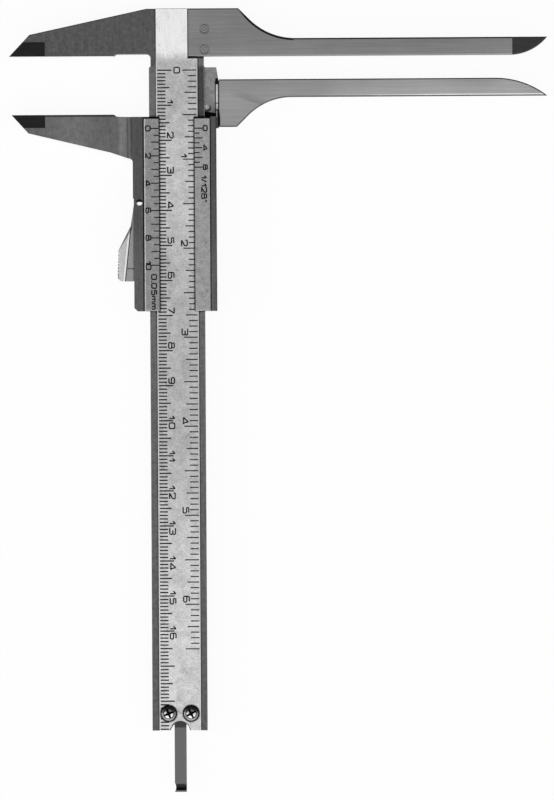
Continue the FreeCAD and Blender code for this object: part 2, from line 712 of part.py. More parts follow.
def rod_rivet(name, drop):
    """Flush rivet through the rod and the slider's back wall."""
    rivet = body(name, ("scale_shift", f"-jaw_opening - ({drop})", "-slide_gap - slider_back"))
    turn(rivet, "Shank", [
        ("0", "0"),
        ("rod_rivet_radius", "0"),
        ("rod_rivet_radius", "slider_back + rod_lift + rod_thickness"),
        ("0", "slider_back + rod_lift + rod_thickness"),
    ])


def lock_lever():
    """Rocker in the left rail: its nose locks on the beam's side until the thumb pad is pressed."""
    lever = body("lock_lever", ("-pivot_place", "-jaw_opening - pivot_drop", "lever_level"))
    nose = f"pivot_place - {half} - nose_gap"
    pad(lever, "Rocker", flat, [
        ("-lever_boss", "0"),
        ("-lever_waist", "-pad_start"),
        ("pivot_place - pad_reach + pad_taper", "-pad_full"),
        ("pivot_place - pad_reach", "-pad_end + pad_round"),
        ("pivot_place - pad_reach + pad_round", "-pad_end", "pad_round"),
        ("pivot_place - lever_inner - pad_round", "-pad_end"),
        ("pivot_place - lever_inner", "-pad_end + pad_round", "pad_round"),
        ("pivot_place - lever_inner", "-pad_start"),
        ("lever_boss", "0"),
        (nose, "nose_reach - nose_height"),
        (nose, "nose_reach"),
        (f"{nose} - nose_width", "nose_reach"),
    ], "0", "lever_thickness")
    drill(lever, "PinHole", flat, [("0", "0")], "pin_radius + pin_play",
          f"-{clear}", f"lever_thickness + {clear}")
    rim = "pivot_place - pad_reach"
    for name, start, end, away in (
            ("FrontFace", "lever_thickness", "lever_thickness - pad_bevel", f"lever_thickness + {clear}"),
            ("BackFace", "0", "pad_bevel", f"-{clear}")):
        pocket(lever, name, side, [
            (f"{rim} - {clear}", end),
            (rim, end),
            (f"{rim} + pad_bevel_width", start),
            (f"{rim} + pad_bevel_width", away),
            (f"{rim} - {clear}", away),
        ], f"-pad_end - {clear}", "-pad_face_start")
    rim_length = "(pad_end - pad_round - pad_full)"
    notch_x = f"({rim} + pad_taper - pad_taper * grip_pitch / {rim_length})"
    notch_y = "(-pad_full - grip_pitch)"
    notch = pocket(lever, "GripNotch", flat, [
        (f"{notch_x} + grip_depth", notch_y),
        (f"{notch_x} - {clear}", f"{notch_y} + grip_depth + {clear}"),
        (f"{notch_x} - {clear}", f"{notch_y} - grip_depth - {clear}"),
    ], f"-{clear}", f"lever_thickness + {clear}")
    drawing = notch.Profile[0]
    rim_line = (FreeCAD.Vector(value(f"{rim} + pad_taper"), value("-pad_full"), 0),
                FreeCAD.Vector(value(rim), value("-pad_end + pad_round"), 0))
    drawing.addGeometry(Part.LineSegment(*rim_line), True)
    row = lever.newObject("PartDesign::LinearPattern", "GripNotches")
    row.Originals = [notch]
    row.Direction = (drawing, ["Axis0"])
    row.setExpression("Length", bound(f"grip_pitch * (floor({rim_length} / grip_pitch) - 1)"))
    row.setExpression("Occurrences", bound(f"floor({rim_length} / grip_pitch)"))
    lever.Tip = row


def pivot_pin():
    """Rolled hollow pin that carries the lever."""
    pin = body("lever_pivot_pin", ("-pivot_place", "-jaw_opening - pivot_drop",
                                   "rail_level - pin_length - pin_sink"))
    turn(pin, "Tube", [
        ("pin_bore", "0"),
        ("pin_radius", "0"),
        ("pin_radius", "pin_length"),
        ("pin_bore", "pin_length"),
    ])


def lever_spring():
    """Leaf that pushes the thumb pad out."""
    spring = body("lever_spring", ("-slot_inner - seat_play", "-jaw_opening - pivot_drop",
                                   "lever_level + (lever_thickness - spring_width) / 2"))
    gap = "(lever_inner - slot_inner - 2 * seat_play - spring_leaf * cos(spring_turn))"
    bend = f"({gap} / (1 - cos(spring_turn)))"
    foot = "-spring_start - spring_foot"
    pad(spring, "Leaf", flat, [
        ("0", "-spring_start"),
        ("0", foot),
        (f"-{bend} * (1 - cos(spring_turn))", f"{foot} - {bend} * sin(spring_turn)", f"-{bend}"),
        (f"-{bend} + ({bend} - spring_leaf) * cos(spring_turn)",
         f"{foot} - ({bend} - spring_leaf) * sin(spring_turn)"),
        ("-spring_leaf", foot, f"{bend} - spring_leaf"),
        ("-spring_leaf", "-spring_start"),
    ], "0", "spring_width")


def gib_spring():
    """Bowed leaf between the slider's right rail and the beam."""
    leaf = body("gib_spring", ("0", "-jaw_opening - (slider_top + slider_bottom) / 2", "gib_level"))
    rest = f"{half} + gib_pocket - seat_play"
    crest = f"{half} + side_gap"
    reach, foot = "gib_length / 2", "(gib_length / 2 - gib_foot)"
    rise = f"({rest} - gib_leaf - ({crest}))"
    bow = f"({foot} * {foot} + {rise} * {rise}) / (2 * {rise})"
    pad(leaf, "Leaf", flat, [
        (rest, f"-{reach}"),
        (rest, f"-{foot}"),
        (f"{crest} + gib_leaf", "0", f"-({bow} - gib_leaf)"),
        (rest, foot, f"-({bow} - gib_leaf)"),
        (rest, reach),
        (f"{rest} - gib_leaf", reach),
        (f"{rest} - gib_leaf", foot),
        (crest, "0", bow),
        (f"{rest} - gib_leaf", f"-{foot}", bow),
        (f"{rest} - gib_leaf", f"-{reach}"),
    ], "0", "gib_width")


def gib_screw(name, sign):
    """Slotted set screw that holds one end of the gib spring."""
    middle = "-jaw_opening - (slider_top + slider_bottom) / 2"
    place = f"{middle} {sign} (gib_length / 2 - gib_foot / 2)"
    screw = body(name, ("0", place, "gib_level + gib_width / 2"))
    start, end = f"{half} + gib_pocket", "slider_right - gib_screw_sink"
    drawing = sketch(screw, "ShankCircle", across, start)
    circles(drawing, [("0", "0")], "gib_screw_radius")
    feature(screw, "Pad", "Shank", drawing, f"({end}) - ({start})")
    reach = f"gib_screw_radius + {clear}"
    pocket(screw, "DriverSlot", across, rectangle(f"-({reach})", "-gib_slot_width / 2",
                                                  reach, "gib_slot_width / 2"),
           f"{end} - gib_slot_depth", f"{end} + {clear}")


main_beam()
fixed_jaw_tip()
fixed_inside_arm()
fixed_arm_tip()
arm_rivet("arm_rivet_upper", "rivet_upper")
arm_rivet("arm_rivet_lower", "rivet_lower")
stop_plate()
stop_screw("stop_screw_left", "-screw_place", "left_screw_turn")
stop_screw("stop_screw_right", "screw_place", "right_screw_turn")
slider_body()
moving_jaw_tip()
moving_inside_arm()
arm_braze()
depth_rod()
rod_rivet("rod_rivet_upper", "rod_top + rod_rivet_inset")
rod_rivet("rod_rivet_lower", "rod_top + rod_seat_length - rod_rivet_inset")
lock_lever()
pivot_pin()
lever_spring()
gib_spring()
gib_screw("gib_screw_upper", "+")
gib_screw("gib_screw_lower", "-")
doc.recompute()

failed = [item.Name for item in doc.Objects if "Invalid" in item.State or "Error" in item.State]
if failed:
    raise RuntimeError("these features failed: " + ", ".join(failed))
pieces = [item for item in doc.Objects if item.TypeId == "PartDesign::Body"]
for piece in pieces:
    if piece.Shape.isNull() or not piece.Shape.isValid():
        raise RuntimeError("no sound solid for " + piece.Label)
os.makedirs("parts", exist_ok=True)
for piece in pieces:
    piece.Shape.exportStep(os.path.join("parts", piece.Label + ".step"))
print(len(pieces), "pieces written")
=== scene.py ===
import json
import math

import bmesh
import bpy
from mathutils import Matrix, Vector


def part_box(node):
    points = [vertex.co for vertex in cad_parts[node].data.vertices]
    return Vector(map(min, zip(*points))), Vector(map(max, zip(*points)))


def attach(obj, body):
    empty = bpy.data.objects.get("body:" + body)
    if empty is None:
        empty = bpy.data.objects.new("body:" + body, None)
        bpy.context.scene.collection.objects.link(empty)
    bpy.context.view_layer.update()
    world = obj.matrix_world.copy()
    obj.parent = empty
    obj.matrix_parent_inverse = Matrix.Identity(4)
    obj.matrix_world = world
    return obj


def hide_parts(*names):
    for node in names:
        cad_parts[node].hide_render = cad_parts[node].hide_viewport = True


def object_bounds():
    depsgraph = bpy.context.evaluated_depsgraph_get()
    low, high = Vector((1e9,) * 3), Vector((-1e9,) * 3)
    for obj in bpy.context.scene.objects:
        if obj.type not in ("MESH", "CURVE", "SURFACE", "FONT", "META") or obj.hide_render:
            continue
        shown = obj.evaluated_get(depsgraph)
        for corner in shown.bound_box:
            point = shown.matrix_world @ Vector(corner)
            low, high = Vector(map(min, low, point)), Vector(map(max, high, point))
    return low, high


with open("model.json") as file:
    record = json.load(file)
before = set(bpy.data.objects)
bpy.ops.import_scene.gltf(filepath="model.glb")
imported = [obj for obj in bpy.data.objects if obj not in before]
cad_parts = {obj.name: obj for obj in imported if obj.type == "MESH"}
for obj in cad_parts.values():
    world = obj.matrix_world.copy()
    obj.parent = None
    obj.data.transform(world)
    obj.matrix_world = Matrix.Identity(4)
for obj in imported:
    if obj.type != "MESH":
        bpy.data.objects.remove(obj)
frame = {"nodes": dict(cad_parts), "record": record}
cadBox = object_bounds()
scene = bpy.context.scene
mm = 0.001
nearly = 0.02 * mm     # as near as two levels of a node's mesh are taken for one


# Places read from the frame

def spotsOf(nodeName):
    return [vertex.co for vertex in frame["nodes"][nodeName].data.vertices]


def levelBox(nodeName, level):
    # corners of what a node has at one height
    spots = [spot for spot in spotsOf(nodeName) if abs(spot.z - level) < nearly]
    return (Vector([min(s[i] for s in spots) for i in range(3)]),
            Vector([max(s[i] for s in spots) for i in range(3)]))


beamLow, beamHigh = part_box("main_beam")
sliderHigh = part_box("slider_body")[1]
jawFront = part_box("fixed_jaw_tip")[1].z
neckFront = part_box("moving_inside_arm")[1].z
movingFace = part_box("moving_jaw_tip")[1].y
landLow, landHigh = levelBox("main_beam", beamHigh.z)
crestLow, crestHigh = levelBox("slider_body", sliderHigh.z)
bodyOf = {node: body for body, nodes in frame["record"]["behaviour"]["bodies"].items() for node in nodes}
print("frame: land", [round(x / mm, 2) for x in (landLow.x, landHigh.x)],
      "crest", [round(x / mm, 2) for x in (crestLow.x, crestHigh.x)])


# Camera at the photograph's angle, straight above the scale

cameraSettings = {
    "distance": 1.5,           # lens to the scale's face
    "frameHeight": 228.2 * mm,
    "middle": (28.2 * mm, -98.36 * mm),
    "roll": -0.0058,
}


def stand(name, data):
    # a new object in the scene
    made = bpy.data.objects.new(name, data)
    scene.collection.objects.link(made)
    return made


def makeCamera():
    lens = bpy.data.cameras.new("cameraLens")
    lens.sensor_width = 36
    lens.lens = lens.sensor_width * cameraSettings["distance"] / cameraSettings["frameHeight"]
    lens.clip_start, lens.clip_end = 0.01, 20
    camera = stand("camera", lens)
    camera.location = (*cameraSettings["middle"], beamHigh.z + cameraSettings["distance"])
    camera.rotation_euler = (0, 0, cameraSettings["roll"])
    scene.camera = camera


# Node helpers

def put(tree, kind, inputs=None, **settings):
    made = tree.nodes.new(kind)
    for key, setting in settings.items():
        setattr(made, key, setting)
    for key, source in (inputs or {}).items():
        if isinstance(source, bpy.types.NodeSocket):
            tree.links.new(source, made.inputs[key])
        else:
            made.inputs[key].default_value = source
    return made


def treeOf(sources):
    # a new node belongs to the tree of the sockets that it reads
    return next(source.id_data for source in sources if isinstance(source, bpy.types.NodeSocket))


def maths(operation, *sources):
    return put(treeOf(sources), "ShaderNodeMath", dict(enumerate(sources)), operation=operation).outputs[0]


def vectorMaths(operation, *sources, result=0):
    return put(treeOf(sources), "ShaderNodeVectorMath", dict(enumerate(sources)),
               operation=operation).outputs[result]


def spread(source, low, high, toLow=0.0, toHigh=1.0):
    # a smooth ramp between two values
    return put(source.id_data, "ShaderNodeMapRange", {0: source, 1: low, 2: high, 3: toLow, 4: toHigh},
               interpolation_type="SMOOTHSTEP").outputs[0]


def noise(place, scale, detail, roughness=0.5, distortion=0.0, dimensions="3D"):
    return put(place.id_data, "ShaderNodeTexNoise", {
        "Vector": place, "Scale": scale, "Detail": detail, "Roughness": roughness,
        "Distortion": distortion}, noise_dimensions=dimensions).outputs[0]


def groupTree(name, inputs, outputs, treeKind="ShaderNodeTree", outputKind="Float"):
    tree = bpy.data.node_groups.new(name, treeKind)
    for socketName, kind, value in inputs:
        socket = tree.interface.new_socket(socketName, in_out="INPUT", socket_type="NodeSocket" + kind)
        if value is not None:
            socket.default_value = value
    for socketName in outputs:
        tree.interface.new_socket(socketName, in_out="OUTPUT", socket_type="NodeSocket" + outputKind)
    return tree, put(tree, "NodeGroupInput"), put(tree, "NodeGroupOutput")


# Effects that several finishes share

def swing(source):
    return maths("SUBTRACT", source, 0.5)


def makeGrain():
    # fine lines along Y, with broad cloudy patches over them
    tree, given, result = groupTree("steelGrain", [
        ("Place", "Vector", None), ("Lines", "Float", 6.0), ("Run", "Float", 0.03),
        ("Line Share", "Float", 0.3), ("Cloud Size", "Float", 4.0), ("Cloud Share", "Float", 0.3),
        ("Speck Share", "Float", 0.2),
    ], ["Shade", "Rub", "Height"])
    perMetre = maths("MULTIPLY", given.outputs["Lines"], 1 / mm)
    along = maths("MULTIPLY", perMetre, given.outputs["Run"])
    stretch = put(tree, "ShaderNodeCombineXYZ", {0: perMetre, 1: along, 2: perMetre}).outputs[0]
    lined = vectorMaths("MULTIPLY", given.outputs["Place"], stretch)
    lines = noise(lined, 1.0, 3.0, 0.65)
    cloudScale = maths("DIVIDE", 1 / mm, given.outputs["Cloud Size"])
    clouds = noise(given.outputs["Place"], cloudScale, 5.0, 0.6)
    specks = noise(given.outputs["Place"], 2.2 / mm, 1.0)
    parts = [maths("MULTIPLY", swing(pattern), given.outputs[share])
             for pattern, share in ((lines, "Line Share"), (clouds, "Cloud Share"), (specks, "Speck Share"))]
    shade = maths("ADD", maths("ADD", parts[0], parts[1]), maths("ADD", parts[2], 1.0))
    tree.links.new(maths("MAXIMUM", shade, 0.1), result.inputs["Shade"])
    tree.links.new(maths("ADD", swing(lines), swing(clouds)), result.inputs["Rub"])
    tree.links.new(lines, result.inputs["Height"])
    return tree


def makeFrost():
    # tiny isotropic grains of a satin plated face, with worn patches and a few dark specks
    tree, given, result = groupTree("satinFrost", [
        ("Place", "Vector", None), ("Grain Size", "Float", 0.25), ("Grain Share", "Float", 0.25),
        ("Patch Size", "Float", 9.0), ("Patch Share", "Float", 0.3), ("Speck Share", "Float", 0.25),
    ], ["Shade", "Rub", "Height"])
    fineScale = maths("DIVIDE", 1 / mm, given.outputs["Grain Size"])
    fine = noise(given.outputs["Place"], fineScale, 2.0, 0.7)
    patchScale = maths("DIVIDE", 1 / mm, given.outputs["Patch Size"])
    patches = noise(given.outputs["Place"], patchScale, 6.0, 0.66, distortion=0.5)
    speck = spread(noise(given.outputs["Place"], 0.42 / mm, 2.0), 0.66, 0.76)
    fineShade = maths("MULTIPLY", swing(fine), given.outputs["Grain Share"])
    patchShade = maths("MULTIPLY", swing(patches), given.outputs["Patch Share"])
    speckShade = maths("MULTIPLY", speck, given.outputs["Speck Share"])
    grains = maths("ADD", fineShade, patchShade)
    shade = maths("ADD", grains, maths("SUBTRACT", 1.0, speckShade))
    tree.links.new(maths("MAXIMUM", shade, 0.1), result.inputs["Shade"])
    tree.links.new(swing(patches), result.inputs["Rub"])
    tree.links.new(fine, result.inputs["Height"])
    return tree


def makeCornerDirt():
    # mask of the inner corners, for the oil and dust there and for painted shade where less light reaches
    tree, given, result = groupTree("cornerDirtAndShade", [
        ("Reach", "Float", 0.7), ("Strength", "Float", 0.8)], ["Mask"])
    reach = maths("MULTIPLY", given.outputs["Reach"], mm)
    shaded = put(tree, "ShaderNodeAmbientOcclusion", {"Distance": reach}, samples=8)
    hidden = maths("SUBTRACT", 1.0, shaded.outputs["AO"])
    mask = maths("MULTIPLY", spread(hidden, 0.1, 0.5), given.outputs["Strength"])
    tree.links.new(mask, result.inputs["Mask"])
    return tree


grainGroup = makeGrain()
frostGroup = makeFrost()
dirtAndShadeGroup = makeCornerDirt()


# Finishes. A tone is the grey that a face turned to the lens shows, 0 to 255.

sky = {
    "overhead": 0.96,      # what a flat face mirrors
    "near": 1.35,          # towards the thumb end, where the lamps stand
    "away": 0.16,          # beyond the head the room is dark
    "flatLevel": 0.92,     # mean of all that a satin flat face mirrors
}


def linearTone(tone):
    share = tone / 255
    return share / 12.92 if share <= 0.04045 else ((share + 0.055) / 1.055) ** 2.4


def steelColour(tone):
    return linearTone(tone) / sky["flatLevel"]


def gain(fromTone, toTone):
    return linearTone(toTone) / linearTone(fromTone)


def placeAlong(tree, turn=0.0):
    # object coordinates turned so that the pattern's Y runs along the grain
    here = put(tree, "ShaderNodeTexCoord").outputs["Object"]
    return put(tree, "ShaderNodeMapping", {"Vector": here, "Rotation": (0, 0, turn)}).outputs[0], here


def grey(value):
    return put(value.id_data, "ShaderNodeCombineColor", {0: value, 1: value, 2: value}).outputs[0]


def axes(here):
    return put(here.id_data, "ShaderNodeSeparateXYZ", {0: here}).outputs[:2]


def band(coordinate, low, high, soft=0.1):
    # mask of a band between two places, with soft sides
    away = maths("ABSOLUTE", maths("SUBTRACT", coordinate, (low + high) / 2))
    half = (high - low) / 2
    return spread(away, half - soft / 2, half + soft / 2, 1.0, 0.0)


def both(*masks):
    made = masks[0]
    for mask in masks[1:]:
        made = maths("MULTIPLY", made, mask)
    return made


def shadeBy(shade, *layers):
    # each layer is a mask and what the shade is multiplied by under it
    return both(shade, *(maths("MULTIPLY_ADD", mask, factor - 1, 1.0) for mask, factor in layers))


def retone(shade, tone, *layers):
    # each layer is a mask and the tone that takes the place of the first one under it
    return shadeBy(shade, *((mask, gain(tone, other)) for mask, other in layers))


def beside(here, start, end):
    # distance to the left of a line seen from its start
    way = (Vector(end) - Vector(start)).normalized()
    across = Vector((-way.y, way.x, 0))
    reach = vectorMaths("SUBTRACT", here, (*start, 0))
    return vectorMaths("DOT_PRODUCT", reach, across, result="Value")


def distance(here, spot):
    flat = vectorMaths("MULTIPLY", vectorMaths("SUBTRACT", here, (*spot, 0)), (1, 1, 0))
    return vectorMaths("LENGTH", flat, result="Value")


def metalShader(tree, colour, roughness, height, bump, dirtAndShade):
    # principled metal, darkened in its corners by dirt and painted shade
    darker = maths("MULTIPLY", colour, maths("SUBTRACT", 1.0, dirtAndShade))
    duller = maths("ADD", roughness, maths("MULTIPLY", dirtAndShade, 0.3))
    capped = maths("MINIMUM", darker, 0.97)
    relief = put(tree, "ShaderNodeBump", {"Height": height, "Strength": bump, "Distance": 0.01 * mm})
    shader = put(tree, "ShaderNodeBsdfPrincipled", {
        "Base Color": grey(capped), "Roughness": duller, "Metallic": 1.0, "Normal": relief.outputs[0]})
    put(tree, "ShaderNodeOutputMaterial", {"Surface": shader.outputs[0]})


def newMaterial(name):
    material = bpy.data.materials.new(name)
    material.use_nodes = True
    material.node_tree.nodes.clear()
    return material, material.node_tree


def finishWith(group, tone, values, turn, roughness, rubShare, bump, dirtAndShade, reshade):
    # one metal finish. reshade takes the place in millimetres and the shade, and gives the shade back changed
    material, tree = newMaterial("finish")
    place, here = placeAlong(tree, turn)
    effect = put(tree, "ShaderNodeGroup", node_tree=group)
    tree.links.new(place, effect.inputs["Place"])
    for key, value in values.items():
        effect.inputs[key].default_value = value
    shade = effect.outputs["Shade"]
    if reshade:
        shade = reshade(vectorMaths("MULTIPLY", here, (1 / mm, 1 / mm, 1 / mm)), shade)
    corners = put(tree, "ShaderNodeGroup", node_tree=dirtAndShadeGroup)
    corners.inputs["Strength"].default_value = dirtAndShade
    colour = maths("MULTIPLY", shade, steelColour(tone))
    rough = maths("MULTIPLY_ADD", effect.outputs["Rub"], rubShare, roughness)
    metalShader(tree, colour, rough, effect.outputs["Height"], bump, corners.outputs["Mask"])
    return material


def groundSteel(tone, turn=0.0, lines=5.0, run=0.04, lineShare=0.7, cloudSize=1.6, cloudShare=0.7,
                specks=0.3, roughness=0.34, bump=0.25, dirtAndShade=0.85, reshade=None):
    return finishWith(grainGroup, tone, {
        "Lines": lines, "Run": run, "Line Share": lineShare, "Cloud Size": cloudSize,
        "Cloud Share": cloudShare, "Speck Share": specks}, turn, roughness, 0.12, bump, dirtAndShade, reshade)


def satinChrome(tone, grainSize=0.3, grainShare=0.8, patchSize=2.6, patchShare=0.6, specks=0.25,
                roughness=0.42, bump=0.35, dirtAndShade=0.9, reshade=None):
    return finishWith(frostGroup, tone, {
        "Grain Size": grainSize, "Grain Share": grainShare, "Patch Size": patchSize,
        "Patch Share": patchShare, "Speck Share": specks}, 0.0, roughness, 0.15, bump, dirtAndShade, reshade)


def plainMetal(tone, roughness, bump=0.1, share=0.2, dirtAndShade=0.7, reshade=None):
    return groundSteel(tone, lines=3.0, run=1.0, lineShare=share, cloudSize=1.5, cloudShare=share,
                       specks=share, roughness=roughness, bump=bump, dirtAndShade=dirtAndShade, reshade=reshade)


wearAndLight = {                                    # in millimetres
    "headBright": (-2, 2),        # the land is rubbed bright above these heights
    "headGain": 0.68,
    "lengthways": (-10, -190),    # the beam grows duller towards its foot
    "plateEdge": 0.45,                 # painted highlight along the left plate's outer edge
    "edgeShadow": 0.18,
    "cornerShade": 0.3,                 # painted shade beside the right plate
    "foldTop": (-13.6, -51.9),    # fold of the thumb pad
    "foldBottom": (-14.9, -63.9),
    "padShoulder": (-12.9, -49.5),
    "padCorner": (-16.6, -55.2),
    "weldBead": (8.6, -14.5),
    "brazeStrip": (11.28, 11.8),  # bright filed edge of the neck, up to the black seam
    "armGrind": ((13, -10.3), (24.4, -14.1)),
    "turnedRing": 0.62,                # from one ring of a filed rivet to the next
}


def rubbedLand(here, shade):
    # rubbed bright at the head, with long wavy streaks, handled lower down, with painted shade round the
    # notch
    x, y = axes(here)
    wave = noise(vectorMaths("MULTIPLY", here, (1 / 5, 1 / 12, 0.0)), 1.0, 1.0, dimensions="2D")
    bent = maths("MULTIPLY_ADD", swing(wave), 3, x)
    streakPlace = put(here.id_data, "ShaderNodeCombineXYZ", {
        0: maths("DIVIDE", bent, 0.7), 1: maths("DIVIDE", y, 9)}).outputs[0]
    streak = noise(streakPlace, 1.0, 2.0, dimensions="2D")
    lift = maths("MULTIPLY", spread(y, *wearAndLight["headBright"]), spread(streak, 0.5, 0.64, 0.85, 1.5))
    shade = maths("ADD", shade, maths("MULTIPLY", lift, wearAndLight["headGain"]))
    wallTop = beamFoot + 1.7
    wall = maths("SUBTRACT", maths("ABSOLUTE", maths("SUBTRACT", x, 0.1)),
                 spread(y, wallTop, beamFoot, 2.2, 2.9))
    return shadeBy(
        shade,
        (both(spread(y, 2, -3), spread(y, -28, -12)), 0.87),    # just below the head
        (both(spread(y, -40, -75), spread(y, -150, -110)), 0.8),    # handled
        (both(spread(wall, 0.2, 0.1), spread(y, wallTop + 0.3, wallTop - 0.3)), 0.1),    # painted shade at the notch's edge
        (spread(y, *wearAndLight["lengthways"]), 1.08))


def guideWear(here, shade):
    # the jaw end of the blank is darker, and so is the step beside the brazed neck
    x, y = axes(here)
    shade = retone(shade, 108, (both(spread(y, -3.6, -2.4), spread(x, 0, -2)), 88),
                   (both(spread(x, 5, 6.5), spread(y, -2.5, -3.5), spread(y, -19, -17)), 68))
    return retone(shade, 112, (spread(y, *wearAndLight["lengthways"]), 96))


def plateEdges(here, shade):
    # painted highlight and painted shade round the vernier plates' edges
    x, y = axes(here)
    edge, shadow = crestEdge, wearAndLight["edgeShadow"]
    return retone(
        shade, 142,
        (band(x, -edge + 0.12, -edge + wearAndLight["plateEdge"]), 190),    # painted highlight on the left plate's edge
        (spread(x, -edge + 0.2, -edge + 0.1), 50),    # and painted shade in the line outside it
        (spread(x, 0, 1), 152),    # right plate
        # painted shadow at the plate's top end
        (spread(y, plateTop - 0.3, plateTop - 0.2), 30),
        # painted shadow of the lip along the plate's inner edge
        (spread(maths("ABSOLUTE", x), windowEdge + shadow * 1.2, windowEdge + shadow * 0.7), 40))


def plateRim(here, shade):
    # painted shadow along the top of the plates' end chamfers
    return retone(shade, 226, (spread(axes(here)[1], plateTop - 0.2, plateTop - 0.12), 30))


def railWear(here, shade):
    # painted shade in the corner by the right plate and on the outer arris
    x, y = axes(here)
    return retone(
        shade, 84,
        (band(x, crestEdge - 0.05, crestEdge + wearAndLight["cornerShade"]), 24),
        (spread(x, sliderRight - 0.35, sliderRight - 0.15), 66),
        (spread(y, -48, -60), 93))


def jawBands(here, shade):
    # painted light in two bands where the hollow between jaw and rail catches the light, and a painted shadow
    # along the jaw's top edge
    x, y = axes(here)
    return retone(
        shade, 102,
        (band(x, -16.4, -14.5, 1.2), 120),
        (band(x, -14.1, -13.35, 0.15), 72),
        # painted shadow along the jaw's top edge
        (both(spread(y, jawFace - 0.75, jawFace - 0.5), spread(x, -15.5, -17.5)), 62),
        (band(x, -35, -25, 9), 113))


def neckHeat(here, shade):
    # stains round the brazed neck, a bead of weld painted with its highlight and shadow, a painted shadow
    # across the foot, then the bright filed strip
    x, y = axes(here)
    stains = noise(here, 0.4, 3.0, distortion=0.8)
    beadX, beadY = wearAndLight["weldBead"]
    bead = distance(here, (beadX, beadY))
    low = distance(here, (beadX + 0.3, beadY - 0.35))
    edge, seam = wearAndLight["brazeStrip"]
    footTop = spread(x, 7.6, edge, jawFace + 0.95, jawFace + 0.4)
    shade = retone(
        maths("MULTIPLY", shade, spread(stains, 0.3, 0.7, 0.82, 1.22)), 118,
        (spread(y, jawFace + 2.6, jawFace + 0.9), 88),    # darker towards the foot
        (both(spread(low, 1.1, 0.85), spread(bead, 0.75, 0.95)), 50),    # shadow under the bead
        (spread(bead, 0.85, 0.1), 170),    # painted highlight of the bead
        (both(spread(x, edge - 0.05, edge + 0.05), spread(y, -7.9, -8.1)), 165),    # filed strip
        (both(band(x, edge - 0.34, edge - 0.05), spread(y, -6.8, -7.2)), 42),    # line beside it
        (both(spread(x, edge - 0.3, edge - 0.1), band(y, -8.1, -6.3)), 18),    # black lump at its top
        (both(spread(maths("SUBTRACT", y, footTop), 0.1, -0.1), spread(x, edge + 0.1, edge)), 12),    # painted shadow of the rail on the foot
        # painted shade along the top edge
        (spread(y, -3.0, -2.8), 60))
    broken = [(both(spread(x, edge - 0.1, edge), band(y, *ends, 0.12)), 50)
              for ends in ((-15.6, -15.2), (-13.6, -13.3))]
    return retone(
        shade, 165, (spread(x, seam, seam + 0.08), 30), *broken,
        (both(spread(x, edge + 0.25, edge + 0.4), spread(y, -15.4, -15.9)), 60))


def armSheen(lowY, highY, darkest, brightest, farLift=0.0):
    # painted sheen: the arms' faces grow brighter towards one edge, and along their length
    def change(here, shade):
        x, y = axes(here)
        clouded = maths("MULTIPLY_ADD", swing(noise(here, 0.09, 1.0)), 0.25, 1.0)
        return both(shade, clouded, spread(y, highY, lowY, darkest, brightest),
                    spread(x, 15, 75, 1.0, 1.0 + farLift))
    return change


def fixedArmWear(here, shade):
    # painted sheen, and painted shade along the upper edge and the curve of the shoulder
    x, y = axes(here)
    shade = armSheen(upperArm[0].y, upperArm[0].y + 5, 0.97, 1.06)(here, shade)
    middle, radius = sweepOf("fixed_inside_arm")
    top, sweepEnd = middle[1] - radius, middle[0]
    curve = both(spread(distance(here, middle), radius + 0.42, radius + 0.3),
                 spread(x, 17, 18), spread(x, sweepEnd, sweepEnd - 1))
    straight = both(spread(y, top - 0.2, top - 0.1), spread(x, sweepEnd - 1, sweepEnd))
    lapEnd = spread(x, upperArm[0].x + 0.3, upperArm[0].x + 0.2)
    return retone(shade, 127, (curve, 30), (straight, 60), (lapEnd, 45))


def movingArmWear(here, shade):
    # oil along the seam, painted sheen, a painted shadow where the blade was ground thinner, and a painted
    # glint near the lower edge
    x, y = axes(here)
    shade = armSheen(lowerArm[1].y - 5, lowerArm[1].y, 0.94, 1.1, 0.3)(here, shade)
    ground = beside(here, *wearAndLight["armGrind"])
    hollow = both(spread(ground, -0.3, 0.2), spread(ground, 2.6, 0.3), spread(x, 14, 21), spread(x, 34, 24))
    oilEnd = spread(y, -15, -18, 12.2, 12.45)
    bottom = lowerArm[1].y - 5.12
    glint = both(band(y, bottom + 0.2, bottom + 0.6, 0.2), spread(x, 40, 80))
    return shadeBy(shade, (hollow, 0.78), (glint, gain(150, 215)),
                   (spread(maths("SUBTRACT", x, oilEnd), 0.05, -0.05), gain(140, 18)))


def rivetRings(row):
    # faint turned rings that show where a rivet was filed flush
    def change(here, shade):
        away = distance(here, (rivetX, row))
        waves = maths("SINE", maths("MULTIPLY", away, 2 * math.pi / wearAndLight["turnedRing"]))
        blotch = noise(here, 1.1, 2.0)
        ringed = maths("MULTIPLY_ADD", waves, spread(blotch, 0.35, 0.65, 0.05, 0.6), 0.98)
        outline = both(spread(away, 1.2, 1.4), spread(blotch, 0.4, 0.55))
        return shadeBy(both(shade, ringed), (outline, 0.45))
    return change


def screwRings(side, turn):
    # painted dark rings of a stepped rim, a painted reflection of the dark room on the far half, and a
    # painted dark star that widens the shade of the cross recess
    def change(here, shade):
        placed = vectorMaths("SUBTRACT", here, (side * screwX / mm, screwY / mm, 0))
        ragged = maths("MULTIPLY_ADD", swing(noise(here, 1.2, 2.0)), 1.6, axes(placed)[1])
        away = distance(placed, (0, 0))
        u, v = axes(put(here.id_data, "ShaderNodeMapping", {
            "Vector": placed, "Rotation": (0, 0, -turn)}).outputs[0])
        star = maths("SQRT", maths("ABSOLUTE", maths("MULTIPLY", u, v)))
        arms = both(spread(star, 0.5, 0.4), spread(away, 1.2, 1.05), spread(away, 0.4, 0.75, 0.7, 1.0))
        return shadeBy(
            shade, (spread(ragged, 0.15, 0.4), 0.3), (arms, 0.04), (spread(away, 1.6, 1.7), 0.27),
            (band(away, 1.3, 1.65, 0.15), 0.1), (spread(away, 1.98, 2.05), 0.03))
    return change


